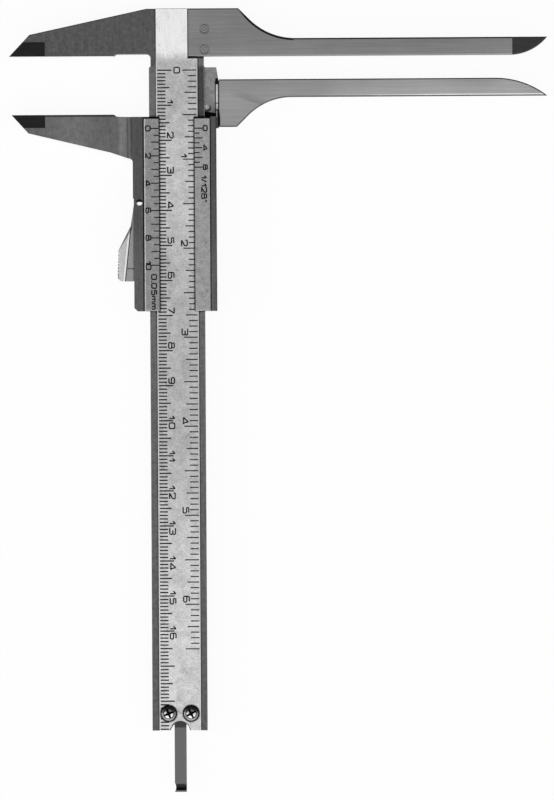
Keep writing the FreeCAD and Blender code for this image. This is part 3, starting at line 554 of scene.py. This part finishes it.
def foldedPad(here, shade):
    # painted highlight on the upturned rim of the thumb pad, painted shade in its fold line and on its
    # shoulder, a stamped line and a dark ragged outline
    x, y = axes(here)
    fold = beside(here, wearAndLight["foldTop"], wearAndLight["foldBottom"])
    below = spread(y, wearAndLight["foldTop"][1] + 2.6, wearAndLight["foldTop"][1] + 2)
    slant = beside(here, wearAndLight["padCorner"], wearAndLight["padShoulder"])
    ragged = noise(here, 2.6, 0.0)
    outline = spread(x, lever[0].x + 0.42, lever[0].x + 0.25)
    return shadeBy(retone(
        shade, 150,
        (both(spread(fold, 0, -0.12), below), 188),    # painted highlight of the upturned rim
        (both(band(fold, -0.08, 0.2), below), 60),    # painted shade in the fold
        (both(band(y, -60.8, -60.45, 0.15), spread(fold, 0, 0.1)), 95),    # stamped line
        (both(spread(slant, -0.05, 0.08), spread(x, -12.7, -13.0)), 88),    # painted shade on the shoulder
        (both(outline, spread(ragged, 0.4, 0.55, 0.35, 1.0)), 60)),
        # painted highlight beside the fold
        (both(band(fold, -0.55, -0.1), below), 1.6))


def pinRim(here, shade):
    # the far half of the pin's rim lies in shadow
    return shadeBy(shade, (spread(axes(here)[1], pinY / mm - 0.1, pinY / mm + 0.1), 0.02))


def scoopedRod(here, shade):
    # painted shade in the hollow-ground scoop near the rod's end
    scoop = band(axes(here)[1], rod[0].y + 0.6, rod[0].y + 2.1, 0.15)
    return retone(shade, 103, (scoop, 36))


def sweepOf(nodeName):
    # centre and radius in millimetres of an arm's shoulder curve, through three points of its front edge
    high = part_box(nodeName)[1]
    edge = sorted({(round(spot.x / mm, 3), round(spot.y / mm, 3)) for spot in spotsOf(nodeName)
                   if abs(spot.z - high.z) < nearly and 19 * mm < spot.x < 34 * mm and spot.y > 5.3 * mm})
    a, b, c = (Vector(edge[i]) for i in (0, len(edge) // 2, -1))
    d = 2 * (a.x * (b.y - c.y) + b.x * (c.y - a.y) + c.x * (a.y - b.y))
    squares = [p.length_squared for p in (a, b, c)]
    x = (squares[0] * (b.y - c.y) + squares[1] * (c.y - a.y) + squares[2] * (a.y - b.y)) / d
    y = (squares[0] * (c.x - b.x) + squares[1] * (a.x - c.x) + squares[2] * (b.x - a.x)) / d
    radius = (a - Vector((x, y))).length
    return (x, y), radius


def makeInk(name, darkest, lightest):
    # dull black of filled engraving, also used as painted shade on walls and in the bore
    material, tree = newMaterial(name)
    worn = noise(placeAlong(tree)[0], 0.9 / mm, 3.0)
    shader = put(tree, "ShaderNodeBsdfPrincipled", {
        "Base Color": grey(spread(worn, 0.5, 0.8, darkest, lightest)), "Roughness": 0.7,
        "Specular IOR Level": 0.15})
    put(tree, "ShaderNodeOutputMaterial", {"Surface": shader.outputs[0]})
    return material


quarterTurn = math.pi / 2
upperArm, lowerArm, rod, lever = ([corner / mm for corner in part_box(nodeName)] for nodeName in (
    "fixed_inside_arm", "moving_inside_arm", "depth_rod", "lock_lever"))
crestEdge, beamFoot, jawFace = crestHigh.x / mm, beamLow.y / mm, movingFace / mm
pinY = sum(corner.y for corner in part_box("lever_pivot_pin")) / 2
plateFloor = sliderHigh.z - 0.7 * mm     # the vernier plates are all that lies above it
plateSpots = [spot for spot in spotsOf("slider_body") if spot.z > plateFloor]
sliderRight = max(spot.x for spot in spotsOf("slider_body") if spot.z > neckFront + 2 * mm) / mm
windowEdge = min(abs(spot.x) for spot in plateSpots) / mm
plateTop = max(spot.y for spot in plateSpots if abs(spot.x) < crestHigh.x) / mm
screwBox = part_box("stop_screw_right")
screwX, screwY = (screwBox[0].x + screwBox[1].x) / 2, (screwBox[0].y + screwBox[1].y) / 2
rivetBoxes = [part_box("arm_rivet_upper"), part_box("arm_rivet_lower")]
rivetX = (rivetBoxes[0][0].x + rivetBoxes[0][1].x) / 2 / mm
upperRivetY, lowerRivetY = [(low.y + high.y) / 2 / mm for low, high in rivetBoxes]
armLook = {"turn": quarterTurn, "lines": 2.2, "run": 0.02, "lineShare": 0.6, "cloudSize": 3.0,
           "cloudShare": 0.12, "specks": 0.08}
finishes = {
    "guideSteel": groundSteel(108, lines=2.5, lineShare=0.8, cloudSize=1.2, cloudShare=1.1,
                              reshade=guideWear),
    "movingJawSteel": groundSteel(102, lines=2.5, run=0.15, cloudShare=0.8, reshade=jawBands),
    "railSteel": groundSteel(84, lines=2.5, lineShare=0.9, cloudSize=1.2, reshade=railWear),
    "neckSteel": groundSteel(132, run=0.6, cloudSize=1.5, cloudShare=0.5, reshade=neckHeat),
    "darkSteel": groundSteel(58, roughness=0.5, run=1.0),
    "shadedSteel": groundSteel(45, turn=quarterTurn, roughness=0.45, dirtAndShade=0.5),
    # painted highlight for the land's bevels
    "edgeHighlight": groundSteel(215, turn=quarterTurn, roughness=0.3, lineShare=0.25, cloudShare=0.25,
                              dirtAndShade=0.2),
    # painted shade for the groove beside the left plate
    "grooveShade": plainMetal(24, 0.6),
    "lappedFace": plainMetal(235, 0.2, dirtAndShade=0.1),
    "scaleSatin": satinChrome(196, grainShare=1.2, patchShare=1.0, reshade=rubbedLand),
    "plateSatin": satinChrome(144, grainShare=1.5, patchSize=1.6, patchShare=1.0, reshade=plateEdges),
    # painted highlight on the plates' end chamfers, with a painted shadow along their top
    "plateEndLightAndShade": satinChrome(226, grainShare=0.3, patchShare=0.3, dirtAndShade=0.3, reshade=plateRim),
    "hardMetal": groundSteel(38, turn=quarterTurn, lines=4.0, roughness=0.38, cloudShare=0.4),
    "armHardMetal": groundSteel(58, turn=quarterTurn, lines=4.0, roughness=0.36, cloudShare=0.4),
    "fixedArmSteel": groundSteel(130, reshade=fixedArmWear, **armLook),
    "upperRivet": groundSteel(120, reshade=rivetRings(upperRivetY), **armLook),
    "lowerRivet": groundSteel(124, reshade=rivetRings(lowerRivetY), **armLook),
    "movingArmSteel": groundSteel(143, reshade=movingArmWear, **armLook),
    "armUnderEdge": groundSteel(128, dirtAndShade=0.2, **armLook),
    "rodSteel": groundSteel(104, lineShare=0.2, cloudShare=0.12, specks=0.05, bump=0.1, dirtAndShade=0.5,
                            reshade=scoopedRod),
    "leverSteel": plainMetal(148, 0.3, share=0.35, reshade=foldedPad),
    "pinSteel": plainMetal(205, 0.35, dirtAndShade=0.3, reshade=pinRim),
    # near black: painted shade in the cross recess
    "recess": plainMetal(14, 0.5),
    "fittingSteel": plainMetal(150, 0.3),
    "springSteel": plainMetal(120, 0.3),
    "solder": plainMetal(48, 0.45, share=0.5, bump=0.5, dirtAndShade=0.2),
}
screwTurns = {"leftScrewChrome": (-1, 22), "rightScrewChrome": (1, 28)}    # side, and degrees at rest
for name, (side, turn) in screwTurns.items():
    finishes[name] = plainMetal(225, 0.34, share=0.1, bump=0.05, dirtAndShade=0.5,
                                reshade=screwRings(side, math.radians(turn)))
for name, material in finishes.items():
    material.name = name
inkAndShade = makeInk("engravingInkAndShade", 0.006, 0.05)
# the same black, used as painted shade on walls
finishes["blackShade"] = inkAndShade
# dark grey painted shade for the moving arm's lower bevels
finishes["greyShade"] = makeInk("greyShade", 0.09, 0.16)
print("finishes:", len(finishes))


# Pieces: each node's mesh is welded, given a fine edge rounding and finished face by face

edgeSettings = {
    "weld": 1e-6,
    "flatWithin": math.radians(0.4),
    "sharpFrom": math.radians(22),
    "rounding": 0.05 * mm,
    "segments": 2,
}


def settle(piece):
    # turn a piece with its modifiers into a plain mesh
    bpy.context.view_layer.update()
    shape = bpy.data.meshes.new_from_object(piece.evaluated_get(bpy.context.evaluated_depsgraph_get()))
    piece.modifiers.clear()
    if piece.type == "MESH":
        piece.data = shape
        shape.name = piece.name
        return piece
    made = stand(piece.name + "Mesh", shape)
    name = piece.name
    bpy.data.objects.remove(piece)
    made.name = name
    return made


def join(piece, body):
    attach(piece, body)


def dress(nodeName, pieceName, materials, pick=None, rounding=None):
    node = frame["nodes"][nodeName]
    shape = bmesh.new()
    shape.from_mesh(node.data)
    bmesh.ops.remove_doubles(shape, verts=shape.verts, dist=edgeSettings["weld"])
    bmesh.ops.dissolve_limit(shape, angle_limit=edgeSettings["flatWithin"], verts=shape.verts,
                             edges=shape.edges)
    for face in shape.faces:
        bends = [edge.calc_face_angle(0.0) for edge in face.edges]
        face.smooth = any(edgeSettings["flatWithin"] < bend < edgeSettings["sharpFrom"] for bend in bends)
        if pick:
            face.material_index = materials.index(pick(face.calc_center_median(), face.normal, face))
    mesh = bpy.data.meshes.new(pieceName)
    shape.to_mesh(mesh)
    shape.free()
    for name in materials:
        mesh.materials.append(finishes[name])
    piece = stand(pieceName, mesh)
    bevel = piece.modifiers.new("edges", "BEVEL")
    bevel.limit_method = "ANGLE"
    bevel.angle_limit = edgeSettings["sharpFrom"]
    bevel.width = rounding or edgeSettings["rounding"]
    bevel.segments = edgeSettings["segments"]
    evened = piece.modifiers.new("normals", "WEIGHTED_NORMAL")
    evened.keep_sharp = True
    settle(piece)
    join(piece, bodyOf[nodeName])
    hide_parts(nodeName)


leaning = 0.3       # a face's normal turned further than this towards an axis leans that way
squareOn = 0.97     # and one turned further than this faces along it


def dressBeam():
    notch = {"top": beamLow.y + 3 * mm, "half": 3 * mm}

    def pick(middle, normal, face):
        tilted = leaning < normal.z < squareOn
        onLand = middle.z > jawFront + 0.05 * mm and landLow.x - 0.2 * mm < middle.x < landHigh.x + 0.2 * mm
        if middle.y < notch["top"] and abs(middle.x) < notch["half"] and middle.z > 0.5 * mm:
            # the notch's walls are painted black, painted shade
            if abs(normal.z) < leaning:
                return "blackShade"
            if tilted and normal.y < -leaning:
                return "darkSteel"
        if tilted and normal.y > leaning and middle.y > 0:
            return "shadedSteel"
        if normal.y < -0.9 and middle.y > -1 * mm and middle.x < -14 * mm:
            return "lappedFace"
        # the land's bevels get a painted highlight
        if onLand and tilted:
            return "edgeHighlight"
        return "scaleSatin" if onLand else "guideSteel"
    dress("main_beam", "beamBlank", ["guideSteel", "scaleSatin", "darkSteel", "shadedSteel", "edgeHighlight",
                                     "lappedFace", "blackShade"], pick)


def dressSlider():
    def pick(middle, normal, face):
        onPlate = abs(middle.x) < crestHigh.x + 0.02 * mm and middle.z > plateFloor
        # the plates' end chamfers get a painted highlight
        if onPlate and 0.3 < normal.z < 0.95 and normal.y > 0.3:
            return "plateEndLightAndShade"
        if onPlate and abs(normal.x) < 0.9 and normal.z > 0.1:
            return "plateSatin"
        # the groove beside the left plate gets painted shade
        if crestLow.x - 0.3 * mm < middle.x < crestLow.x - 0.02 * mm and middle.z < sliderHigh.z - 0.3 * mm:
            if face.calc_area() < 60 * mm * 2 * mm:
                return "grooveShade"
        if middle.y > movingFace + 0.5 * mm or normal.z > 0.9 and abs(middle.z - neckFront) < 0.1 * mm:
            return "neckSteel"
        if middle.x < -12.76 * mm and middle.y > movingFace - 14 * mm:
            return "lappedFace" if abs(normal.y) > 0.9 else "movingJawSteel"
        return "railSteel"
    dress("slider_body", "sliderFrame", ["railSteel", "movingJawSteel", "plateSatin", "plateEndLightAndShade", "neckSteel",
                                         "lappedFace", "grooveShade"], pick)


def dressArms():
    def pickFixed(middle, normal, face):
        if normal.y > leaning and normal.z > leaning:
            return "shadedSteel"
        return "armUnderEdge" if normal.y < -leaning and middle.x > stubEnd else "fixedArmSteel"

    def pickMoving(middle, normal, face):
        if normal.y > leaning and normal.z > leaning:
            return "shadedSteel"
        # faces turned down the arm are painted black and dark grey, painted shade
        if normal.y < -leaning and normal.z < squareOn:
            return "blackShade" if normal.z < leaning else "greyShade"
        return "movingArmSteel"

    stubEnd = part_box("arm_rivet_upper")[1].x + 1.6 * mm
    dress("fixed_inside_arm", "fixedArm", ["fixedArmSteel", "shadedSteel", "armUnderEdge"], pickFixed)
    dress("moving_inside_arm", "movingArm", ["movingArmSteel", "shadedSteel", "blackShade", "greyShade"],
          pickMoving)


def dressJawTips():
    def pick(middle, normal, face):
        return "lappedFace" if normal.y < -0.9 else "hardMetal"
    dress("fixed_jaw_tip", "fixedJawTip", ["hardMetal", "lappedFace"], pick)
    dress("moving_jaw_tip", "movingJawTip", ["hardMetal"])


boreShadowSettings = {
    "start": 8, "sweep": 164,   # degrees of the bore's wall that it clings to
    "steps": 16,
    "dip": 0.25,                # height of its near side's bow, against the bore's radius
    "drop": 0.5 * mm,           # below the pin's front
}


def dressPin():
    low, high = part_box("lever_pivot_pin")
    centreX = (low.x + high.x) / 2

    def pick(middle, normal, face):
        inward = (middle.x - centreX) * normal.x + (middle.y - pinY) * normal.y
        # the bore's wall is painted black, painted shade
        return "blackShade" if abs(normal.z) < leaning and inward < 0 else "pinSteel"
    dress("lever_pivot_pin", "pivotPin", ["pinSteel", "blackShade"], pick)
    # a black sheet, painted shadow, fills the far part of the bore
    bore = min(math.dist(spot.xy, (centreX, pinY)) for spot in spotsOf("lever_pivot_pin"))
    g = boreShadowSettings
    rim = [math.radians(g["start"] + g["sweep"] * i / g["steps"]) for i in range(g["steps"] + 1)]
    corners = [(bore * math.cos(angle), bore * math.sin(angle), 0) for angle in rim]
    corners += [(-bore * math.cos(angle), bore * g["dip"] * math.sin(angle), 0) for angle in rim[1:-1]]
    mesh = bpy.data.meshes.new("boreShadow")
    mesh.from_pydata(corners, [], [range(len(corners))])
    mesh.transform(Matrix.Translation((centreX, pinY, high.z - g["drop"])))
    mesh.materials.append(inkAndShade)
    join(stand("boreShadow", mesh), bodyOf["lever_pivot_pin"])


def dressScrews():
    for nodeName, pieceName, side, chrome in (
            ("stop_screw_left", "stopScrewLeft", -1, "leftScrewChrome"),
            ("stop_screw_right", "stopScrewRight", 1, "rightScrewChrome")):
        def pick(middle, normal, face):
            away = math.dist((middle.x, middle.y), (side * screwX, screwY))
            inside = away < 1.5 * mm and middle.z > beamHigh.z
            deep = abs(normal.z) < 0.85 or middle.z < sliderHigh.z - 0.4 * mm
            # the cross recess gets the near black, painted shade
            return "recess" if inside and deep else chrome
        dress(nodeName, pieceName, [chrome, "recess"], pick, 0.02 * mm)


def dressPlainPieces():
    plain = {
        "fixed_arm_tip": ("fixedArmTip", "armHardMetal"),
        "arm_rivet_upper": ("rivetUpper", "upperRivet"),
        "arm_rivet_lower": ("rivetLower", "lowerRivet"),
        "depth_rod": ("depthRod", "rodSteel"),
        "rod_rivet_upper": ("rodRivetUpper", "fittingSteel"),
        "rod_rivet_lower": ("rodRivetLower", "fittingSteel"),
        "rod_stop_plate": ("stopPlate", "guideSteel"),
        "lever_spring": ("leverLeaf", "springSteel"),
        "gib_spring": ("gibLeaf", "springSteel"),
        "gib_screw_upper": ("gibScrewUpper", "fittingSteel"),
        "gib_screw_lower": ("gibScrewLower", "fittingSteel"),
        "lock_lever": ("lockLever", "leverSteel"),
        "arm_braze_seam": ("brazeSeam", "solder"),
    }
    for nodeName, (pieceName, finish) in plain.items():
        dress(nodeName, pieceName, [finish])


# Graduations: rows of filled lines, made by one tree

markSettings = {
    "lineWidth": 0.32 * mm,
    "proud": 0.006 * mm,        # the filling stands this much above the face
    "sunk": 0.03 * mm,
    "zeroLine": -4.1 * mm,
    "inch": 25.4 * mm,
    "digitSize": (1.6 * mm, 1.64 * mm),   # height and width, to the middles of the strokes
    "digitStroke": 0.42 * mm,
    "digitDepth": 0.014 * mm,
}


def makeTickTree():
    tree, given, result = groupTree("tickRow", [
        ("Geometry", "Geometry", None), ("Count", "Int", 10), ("Pitch", "Float", mm),
        ("Start", "Vector", None), ("Side", "Float", 1.0), ("Short", "Float", 2 * mm),
        ("Middle", "Float", 3 * mm), ("Long", "Float", 4 * mm), ("Middle Every", "Int", 5),
        ("Long Every", "Int", 10), ("Width", "Float", 0.2 * mm), ("Depth", "Float", 0.04 * mm),
        ("Finish", "Material", None)], ["Geometry"], "GeometryNodeTree", "Geometry")
    get = given.outputs
    step = put(tree, "ShaderNodeCombineXYZ", {1: maths("MULTIPLY", get["Pitch"], -1.0)})
    row = put(tree, "GeometryNodeMeshLine", {"Count": get["Count"], "Start Location": get["Start"],
                                             "Offset": step.outputs[0]}, mode="OFFSET")
    index = put(tree, "GeometryNodeInputIndex").outputs[0]

    def every(period, usual, other):
        # the usual length, or the other one on each line that starts a new period
        first = maths("LESS_THAN", maths("MODULO", index, period), 0.5)
        return put(tree, "GeometryNodeSwitch", {0: first, 1: usual, 2: other}, input_type="FLOAT").outputs[0]

    middling = every(get["Middle Every"], get["Short"], get["Middle"])
    length = every(get["Long Every"], middling, get["Long"])
    back = maths("MULTIPLY", length, maths("MULTIPLY_ADD", get["Side"], 0.5, -0.5))
    shift = put(tree, "ShaderNodeCombineXYZ", {0: back}).outputs[0]
    moved = put(tree, "GeometryNodeSetPosition", {"Geometry": row.outputs[0], "Offset": shift})
    bar = put(tree, "GeometryNodeMeshCube", {"Size": (1, 1, 1)})
    cornered = put(tree, "GeometryNodeTransform", {"Geometry": bar.outputs[0], "Translation": (0.5, 0, -0.5)})
    size = put(tree, "ShaderNodeCombineXYZ", {0: length, 1: get["Width"], 2: get["Depth"]}).outputs[0]
    bars = put(tree, "GeometryNodeInstanceOnPoints", {"Points": moved.outputs[0],
                                                      "Instance": cornered.outputs[0], "Scale": size})
    real = put(tree, "GeometryNodeRealizeInstances", {0: bars.outputs[0]})
    inked = put(tree, "GeometryNodeSetMaterial", {"Geometry": real.outputs[0], "Material": get["Finish"]})
    tree.links.new(inked.outputs[0], result.inputs[0])
    return tree


def tickRow(tree, name, settings):
    piece = stand(name, bpy.data.meshes.new(name))
    rows = piece.modifiers.new("rows", "NODES")
    rows.node_group = tree
    values = {"Width": markSettings["lineWidth"], "Depth": markSettings["proud"] + markSettings["sunk"],
              "Finish": inkAndShade, **settings}
    for item in tree.interface.items_tree:
        if item.in_out == "INPUT" and item.name in values:
            rows[item.identifier] = values[item.name]
    return settle(piece)


# Numbers: a plain engraved stroke alphabet, one unit high

def rounded(points, radius=0.26, closed=False):
    # a polyline with its corners rounded
    line = []
    for i, spot in enumerate(points):
        corner = Vector(spot)
        if not closed and i in (0, len(points) - 1):
            line.append(tuple(corner))
            continue
        before, after = Vector(points[i - 1]) - corner, Vector(points[(i + 1) % len(points)]) - corner
        reach = min(radius, before.length / 2, after.length / 2)
        start, end = corner + before.normalized() * reach, corner + after.normalized() * reach
        for step in range(5):
            part = step / 4
            line.append(tuple(start.lerp(corner, part).lerp(corner.lerp(end, part), part)))
    return line + line[:1] if closed else line


def halfTurned(strokes, width):
    return [[(width - x, 1 - y) for x, y in stroke] for stroke in strokes]


def box(left, right, low, high, radius=0.26):
    return rounded([(left, low), (right, low), (right, high), (left, high)], radius, closed=True)


signGap = 0.2
six = [rounded([(0.9, 1.0), (0.0, 1.0), (0.0, 0.0), (1.0, 0.0), (1.0, 0.56), (0.0, 0.56)])]
strokesOf = {
    "0": [box(0.0, 1.0, 0.0, 1.0, 0.3)],
    "1": [[(0.04, 0.58), (0.5, 1.0)], [(0.5, 1.0), (0.5, 0.0)]],
    "2": [rounded([(0.02, 0.7), (0.02, 1.0), (1.0, 1.0), (1.0, 0.55), (0.0, 0.0)], 0.3),
          [(0.0, 0.0), (1.0, 0.0)]],
    "3": [rounded([(0.0, 1.0), (1.1, 1.0), (1.1, 0.54), (0.4, 0.54)]),
          rounded([(0.4, 0.54), (1.1, 0.54), (1.1, 0.0), (0.0, 0.0)])],
    "4": [[(1.0, 0.0), (0.8, 1.0)], [(0.8, 1.0), (0.0, 0.16)], [(0.0, 0.16), (1.2, 0.16)]],
    "5": [rounded([(0.94, 1.0), (0.06, 1.0), (0.06, 0.6), (1.0, 0.6), (1.0, 0.0), (0.0, 0.0)])],
    "6": six,
    "7": [[(0.0, 1.0), (1.0, 1.0)], [(1.0, 1.0), (0.34, 0.0)]],
    "8": [box(0.0, 1.0, 0.0, 0.54, 0.22), box(0.08, 0.92, 0.54, 1.0, 0.2)],
    "9": halfTurned(six, 1.0),
    "/": [[(0.0, -0.05), (0.5, 1.05)]],
    ",": [[(0.1, 0.1), (0.0, -0.14)]],
    "m": [[(0.0, 0.0), (0.0, 0.72)], rounded([(0.0, 0.66), (0.56, 0.66), (0.56, 0.0)], 0.2),
          rounded([(0.56, 0.66), (1.12, 0.66), (1.12, 0.0)], 0.2)],
    '"': [[(0.08, 1.05), (0.08, 0.75)], [(0.32, 1.05), (0.32, 0.75)]],
}
lengthOf = {"1": 0.54, "3": 1.1, "4": 1.15, ",": 0.1, "m": 1.12, "/": 0.5, '"': 0.4}


def wordLength(word, gap=signGap):
    return sum(lengthOf.get(sign, 1.0) + gap for sign in word) - gap


def numbers(name, words):
    # flattened round strokes; a word comes with its middle, size and gap, and reads towards -Y
    curve = bpy.data.curves.new(name, "CURVE")
    curve.dimensions = "3D"
    curve.bevel_depth = markSettings["digitStroke"] / 2
    curve.bevel_resolution = 1
    curve.use_fill_caps = True
    for word, (middleX, middleY), (height, width), gap in words:
        reach = wordLength(word, gap) * width / 2
        pen = 0.0
        for sign in word:
            for stroke in strokesOf[sign]:
                line = curve.splines.new("POLY")
                closed = math.dist(stroke[0], stroke[-1]) < 0.01
                points = stroke[:-1] if closed else stroke
                line.points.add(len(points) - 1)
                for point, (u, v) in zip(line.points, points):
                    point.co = (middleX + (v - 0.5) * height, middleY + reach - (pen + u) * width, 0, 1)
                line.use_cyclic_u = closed
            pen += lengthOf.get(sign, 1.0) + gap
    curve.materials.append(inkAndShade)
    piece = settle(stand(name, curve))
    depth = markSettings["digitDepth"]
    flatten = Matrix.Diagonal((1, 1, depth / markSettings["digitStroke"], 1))
    piece.data.transform(Matrix.Translation((0, 0, -depth / 2)) @ flatten)
    return piece


def gatherMarks(name, parts, body, place=Matrix.Identity(4)):
    # one piece from several, moved to where it is engraved
    shape = bmesh.new()
    for part in parts:
        shape.from_mesh(part.data)
        bpy.data.objects.remove(part)
    mesh = bpy.data.meshes.new(name)
    shape.to_mesh(mesh)
    shape.free()
    mesh.transform(place)
    mesh.materials.append(inkAndShade)
    join(stand(name, mesh), body)


scaleSettings = {
    "leftMargin": 0.22 * mm, "rightMargin": 0.2 * mm,
    "mmShort": 2.35 * mm, "mmMiddle": 3.45 * mm, "mmLong": 4.05 * mm, "mmWidth": 0.38 * mm,
    "inchShort": 2.42 * mm, "inchMiddle": 3.35 * mm, "inchLong": 3.95 * mm,
    "numbersLeft": -1.8 * mm,      # middle of the centimetre numbers
    "numbersRight": 2.05 * mm,     # middle of the inch numbers
    "numberGap": 0.65 * mm,        # between a number and its line
    "pairGap": 0.73,               # between the signs of a number that straddles its line
    "pairStart": 1.46 * mm,
    "lastInch": 6.5,
    "inchParts": 16,
}


def engraveScale(tree):
    s, zero = scaleSettings, markSettings["zeroLine"]
    top = beamHigh.z + markSettings["proud"]
    lastMillimetre = int((zero - beamLow.y) / mm)
    left = tickRow(tree, "millimetres", {
        "Count": lastMillimetre + 1, "Pitch": mm, "Start": (landLow.x + s["leftMargin"], zero, 0),
        "Short": s["mmShort"], "Middle": s["mmMiddle"], "Long": s["mmLong"], "Width": s["mmWidth"]})
    right = tickRow(tree, "inches", {
        "Count": int(s["lastInch"] * s["inchParts"]) + 1, "Pitch": markSettings["inch"] / s["inchParts"],
        "Start": (landHigh.x - s["rightMargin"], zero, 0), "Side": -1.0,
        "Short": s["inchShort"], "Middle": s["inchMiddle"], "Long": s["inchLong"],
        "Middle Every": 4, "Long Every": 8})
    size = markSettings["digitSize"]
    words = [("0", ((landLow.x + landHigh.x) / 2 + 0.05 * mm, zero), size, signGap)]
    for centimetre in range(1, 17):
        word, line = str(centimetre), zero - centimetre * 10 * mm
        gap = signGap if len(word) == 1 else s["pairGap"]
        reach = wordLength(word, gap) * size[1] / 2
        lift = reach + s["numberGap"] if len(word) == 1 else s["pairStart"] - reach
        words.append((word, (s["numbersLeft"], line + lift), size, gap))
    for inch in range(1, 7):
        word, line = str(inch), zero - inch * markSettings["inch"]
        lift = wordLength(word) * size[1] / 2 + s["numberGap"]
        words.append((word, (s["numbersRight"], line + lift), size, signGap))
    figures = numbers("figures", words)
    gatherMarks("beamMarks", [left, right, figures], "beam", Matrix.Translation((0, 0, top)))


vernierSettings = {
    "zero": 4.09 * mm,          # below the moving measuring face
    "short": 1.62 * mm, "long": 2.42 * mm,
    "labelSize": (1.38 * mm, 1.38 * mm),
    "plates": {                 # a label comes with its middle and the gap between its signs
        "leftVernier": {
            "side": -1, "span": 39 * mm, "parts": 20, "numbered": range(0, 11, 2), "column": -8.22 * mm,
            "size": (1.36 * mm, 1.4 * mm), "label": ("0,05mm", (-6.65 * mm, -67.34 * mm), 0.36)},
        "rightVernier": {
            "side": 1, "span": 7 / 16 * 25.4 * mm, "parts": 8, "numbered": range(0, 9, 4), "column": 8.2 * mm,
            "size": (1.12 * mm, 1.38 * mm), "label": ('1/128"', (7.8 * mm, -38.0 * mm), 0.3)},
    },
}


def plateFrame(side):
    # matrix from flat drawing coordinates to a sloping vernier plate
    inner = min(abs(spot.x) for spot in plateSpots if spot.x * side > 0)
    innerLevel = min(spot.z for spot in plateSpots if abs(abs(spot.x) - inner) < nearly)
    slope = math.atan2(sliderHigh.z - innerLevel, abs(crestHigh.x) - inner)
    pivot = Vector((side * inner, 0, innerLevel))
    return (Matrix.Translation(pivot) @ Matrix.Rotation(-side * slope, 4, "Y")
            @ Matrix.Translation((-side * inner, 0, markSettings["proud"]))), inner


def engraveVerniers(tree):
    s = vernierSettings
    zero = movingFace - s["zero"]
    for name, plate in s["plates"].items():
        side, span, parts, numbered = plate["side"], plate["span"], plate["parts"], plate["numbered"]
        place, inner = plateFrame(side)
        ticks = tickRow(tree, name, {
            "Count": parts + 1, "Pitch": span / parts, "Start": (side * inner, zero, 0), "Side": float(side),
            "Short": s["short"], "Middle": s["short"], "Long": s["long"], "Middle Every": 2, "Long Every": 2})
        words = [(str(i), (plate["column"], zero - i / numbered[-1] * span), plate["size"], signGap)
                 for i in numbered]
        label, middle, gap = plate["label"]
        words.append((label, middle, s["labelSize"], gap))
        figures = numbers(name + "Figures", words)
        gatherMarks(name + "Marks", [ticks, figures], "slider", place)


# Studio

studioSettings = {
    "floorDrop": 0.05 * mm,
    "floorSize": 8.0,
    "floorGlow": 0.93,
    "lampAim": (0.02, -0.09, 0.0),
    "lamps": {                 # place, size and power
        "frontLamp": ((0.0, -0.95, 0.42), (0.9, 0.35), 1.0),
        "sideLamp": ((-0.85, -0.05, 0.4), (0.7, 0.3), 1.6),
    },
}


def makeWorld():
    world = bpy.data.worlds.new("studioWorld")
    scene.world = world
    world.use_nodes = True
    tree = world.node_tree
    tree.nodes.clear()
    direction = put(tree, "ShaderNodeTexCoord").outputs["Generated"]
    split = put(tree, "ShaderNodeSeparateXYZ", {0: direction})
    beyond = spread(split.outputs[1], 0.08, 0.5, sky["overhead"], sky["away"])
    nearer = spread(split.outputs[1], -0.1, -0.6, 0.0, sky["near"] - sky["overhead"])
    room = maths("ADD", beyond, nearer)
    seen = put(tree, "ShaderNodeLightPath").outputs["Is Camera Ray"]
    level = put(tree, "ShaderNodeMix", {0: seen, 2: room, 3: 1.0}, data_type="FLOAT").outputs[0]
    back = put(tree, "ShaderNodeBackground", {"Color": grey(level), "Strength": 1.0})
    put(tree, "ShaderNodeOutputWorld", {"Surface": back.outputs[0]})


def makeFloor():
    material, tree = newMaterial("paleFloor")
    plain = put(tree, "ShaderNodeBsdfDiffuse", {"Color": (0.92, 0.92, 0.92, 1)})
    glow = put(tree, "ShaderNodeEmission", {"Color": (1, 1, 1, 1), "Strength": 1.0})
    path = put(tree, "ShaderNodeLightPath")
    seen = maths("MAXIMUM", path.outputs["Is Camera Ray"], path.outputs["Is Glossy Ray"])
    share = maths("MULTIPLY", seen, studioSettings["floorGlow"])
    mixed = put(tree, "ShaderNodeMixShader", {0: share, 1: plain.outputs[0], 2: glow.outputs[0]})
    put(tree, "ShaderNodeOutputMaterial", {"Surface": mixed.outputs[0]})
    half = studioSettings["floorSize"] / 2
    level = cadBox[0].z - studioSettings["floorDrop"]
    mesh = bpy.data.meshes.new("floor")
    mesh.from_pydata([(-half, -half, level), (half, -half, level), (half, half, level), (-half, half, level)],
                     [], [(0, 1, 2, 3)])
    mesh.materials.append(material)
    stand("floor", mesh)


def makeLamp(name, place, size, power):
    lamp = bpy.data.lights.new(name, "AREA")
    lamp.shape = "RECTANGLE"
    lamp.size, lamp.size_y = size
    lamp.energy = power
    holder = stand(name, lamp)
    holder.location = place
    aim = Vector(studioSettings["lampAim"]) - Vector(place)
    holder.rotation_euler = aim.to_track_quat("-Z", "Y").to_euler()


def makeStudio():
    makeWorld()
    makeFloor()
    for name, (place, size, power) in studioSettings["lamps"].items():
        makeLamp(name, place, size, power)
    scene.view_settings.view_transform = "Standard"


makeCamera()
makeStudio()
dressBeam()
dressSlider()
dressArms()
dressJawTips()
dressPin()
dressScrews()
dressPlainPieces()
print("pieces dressed")
tickTree = makeTickTree()
engraveScale(tickTree)
engraveVerniers(tickTree)
print("marks engraved")
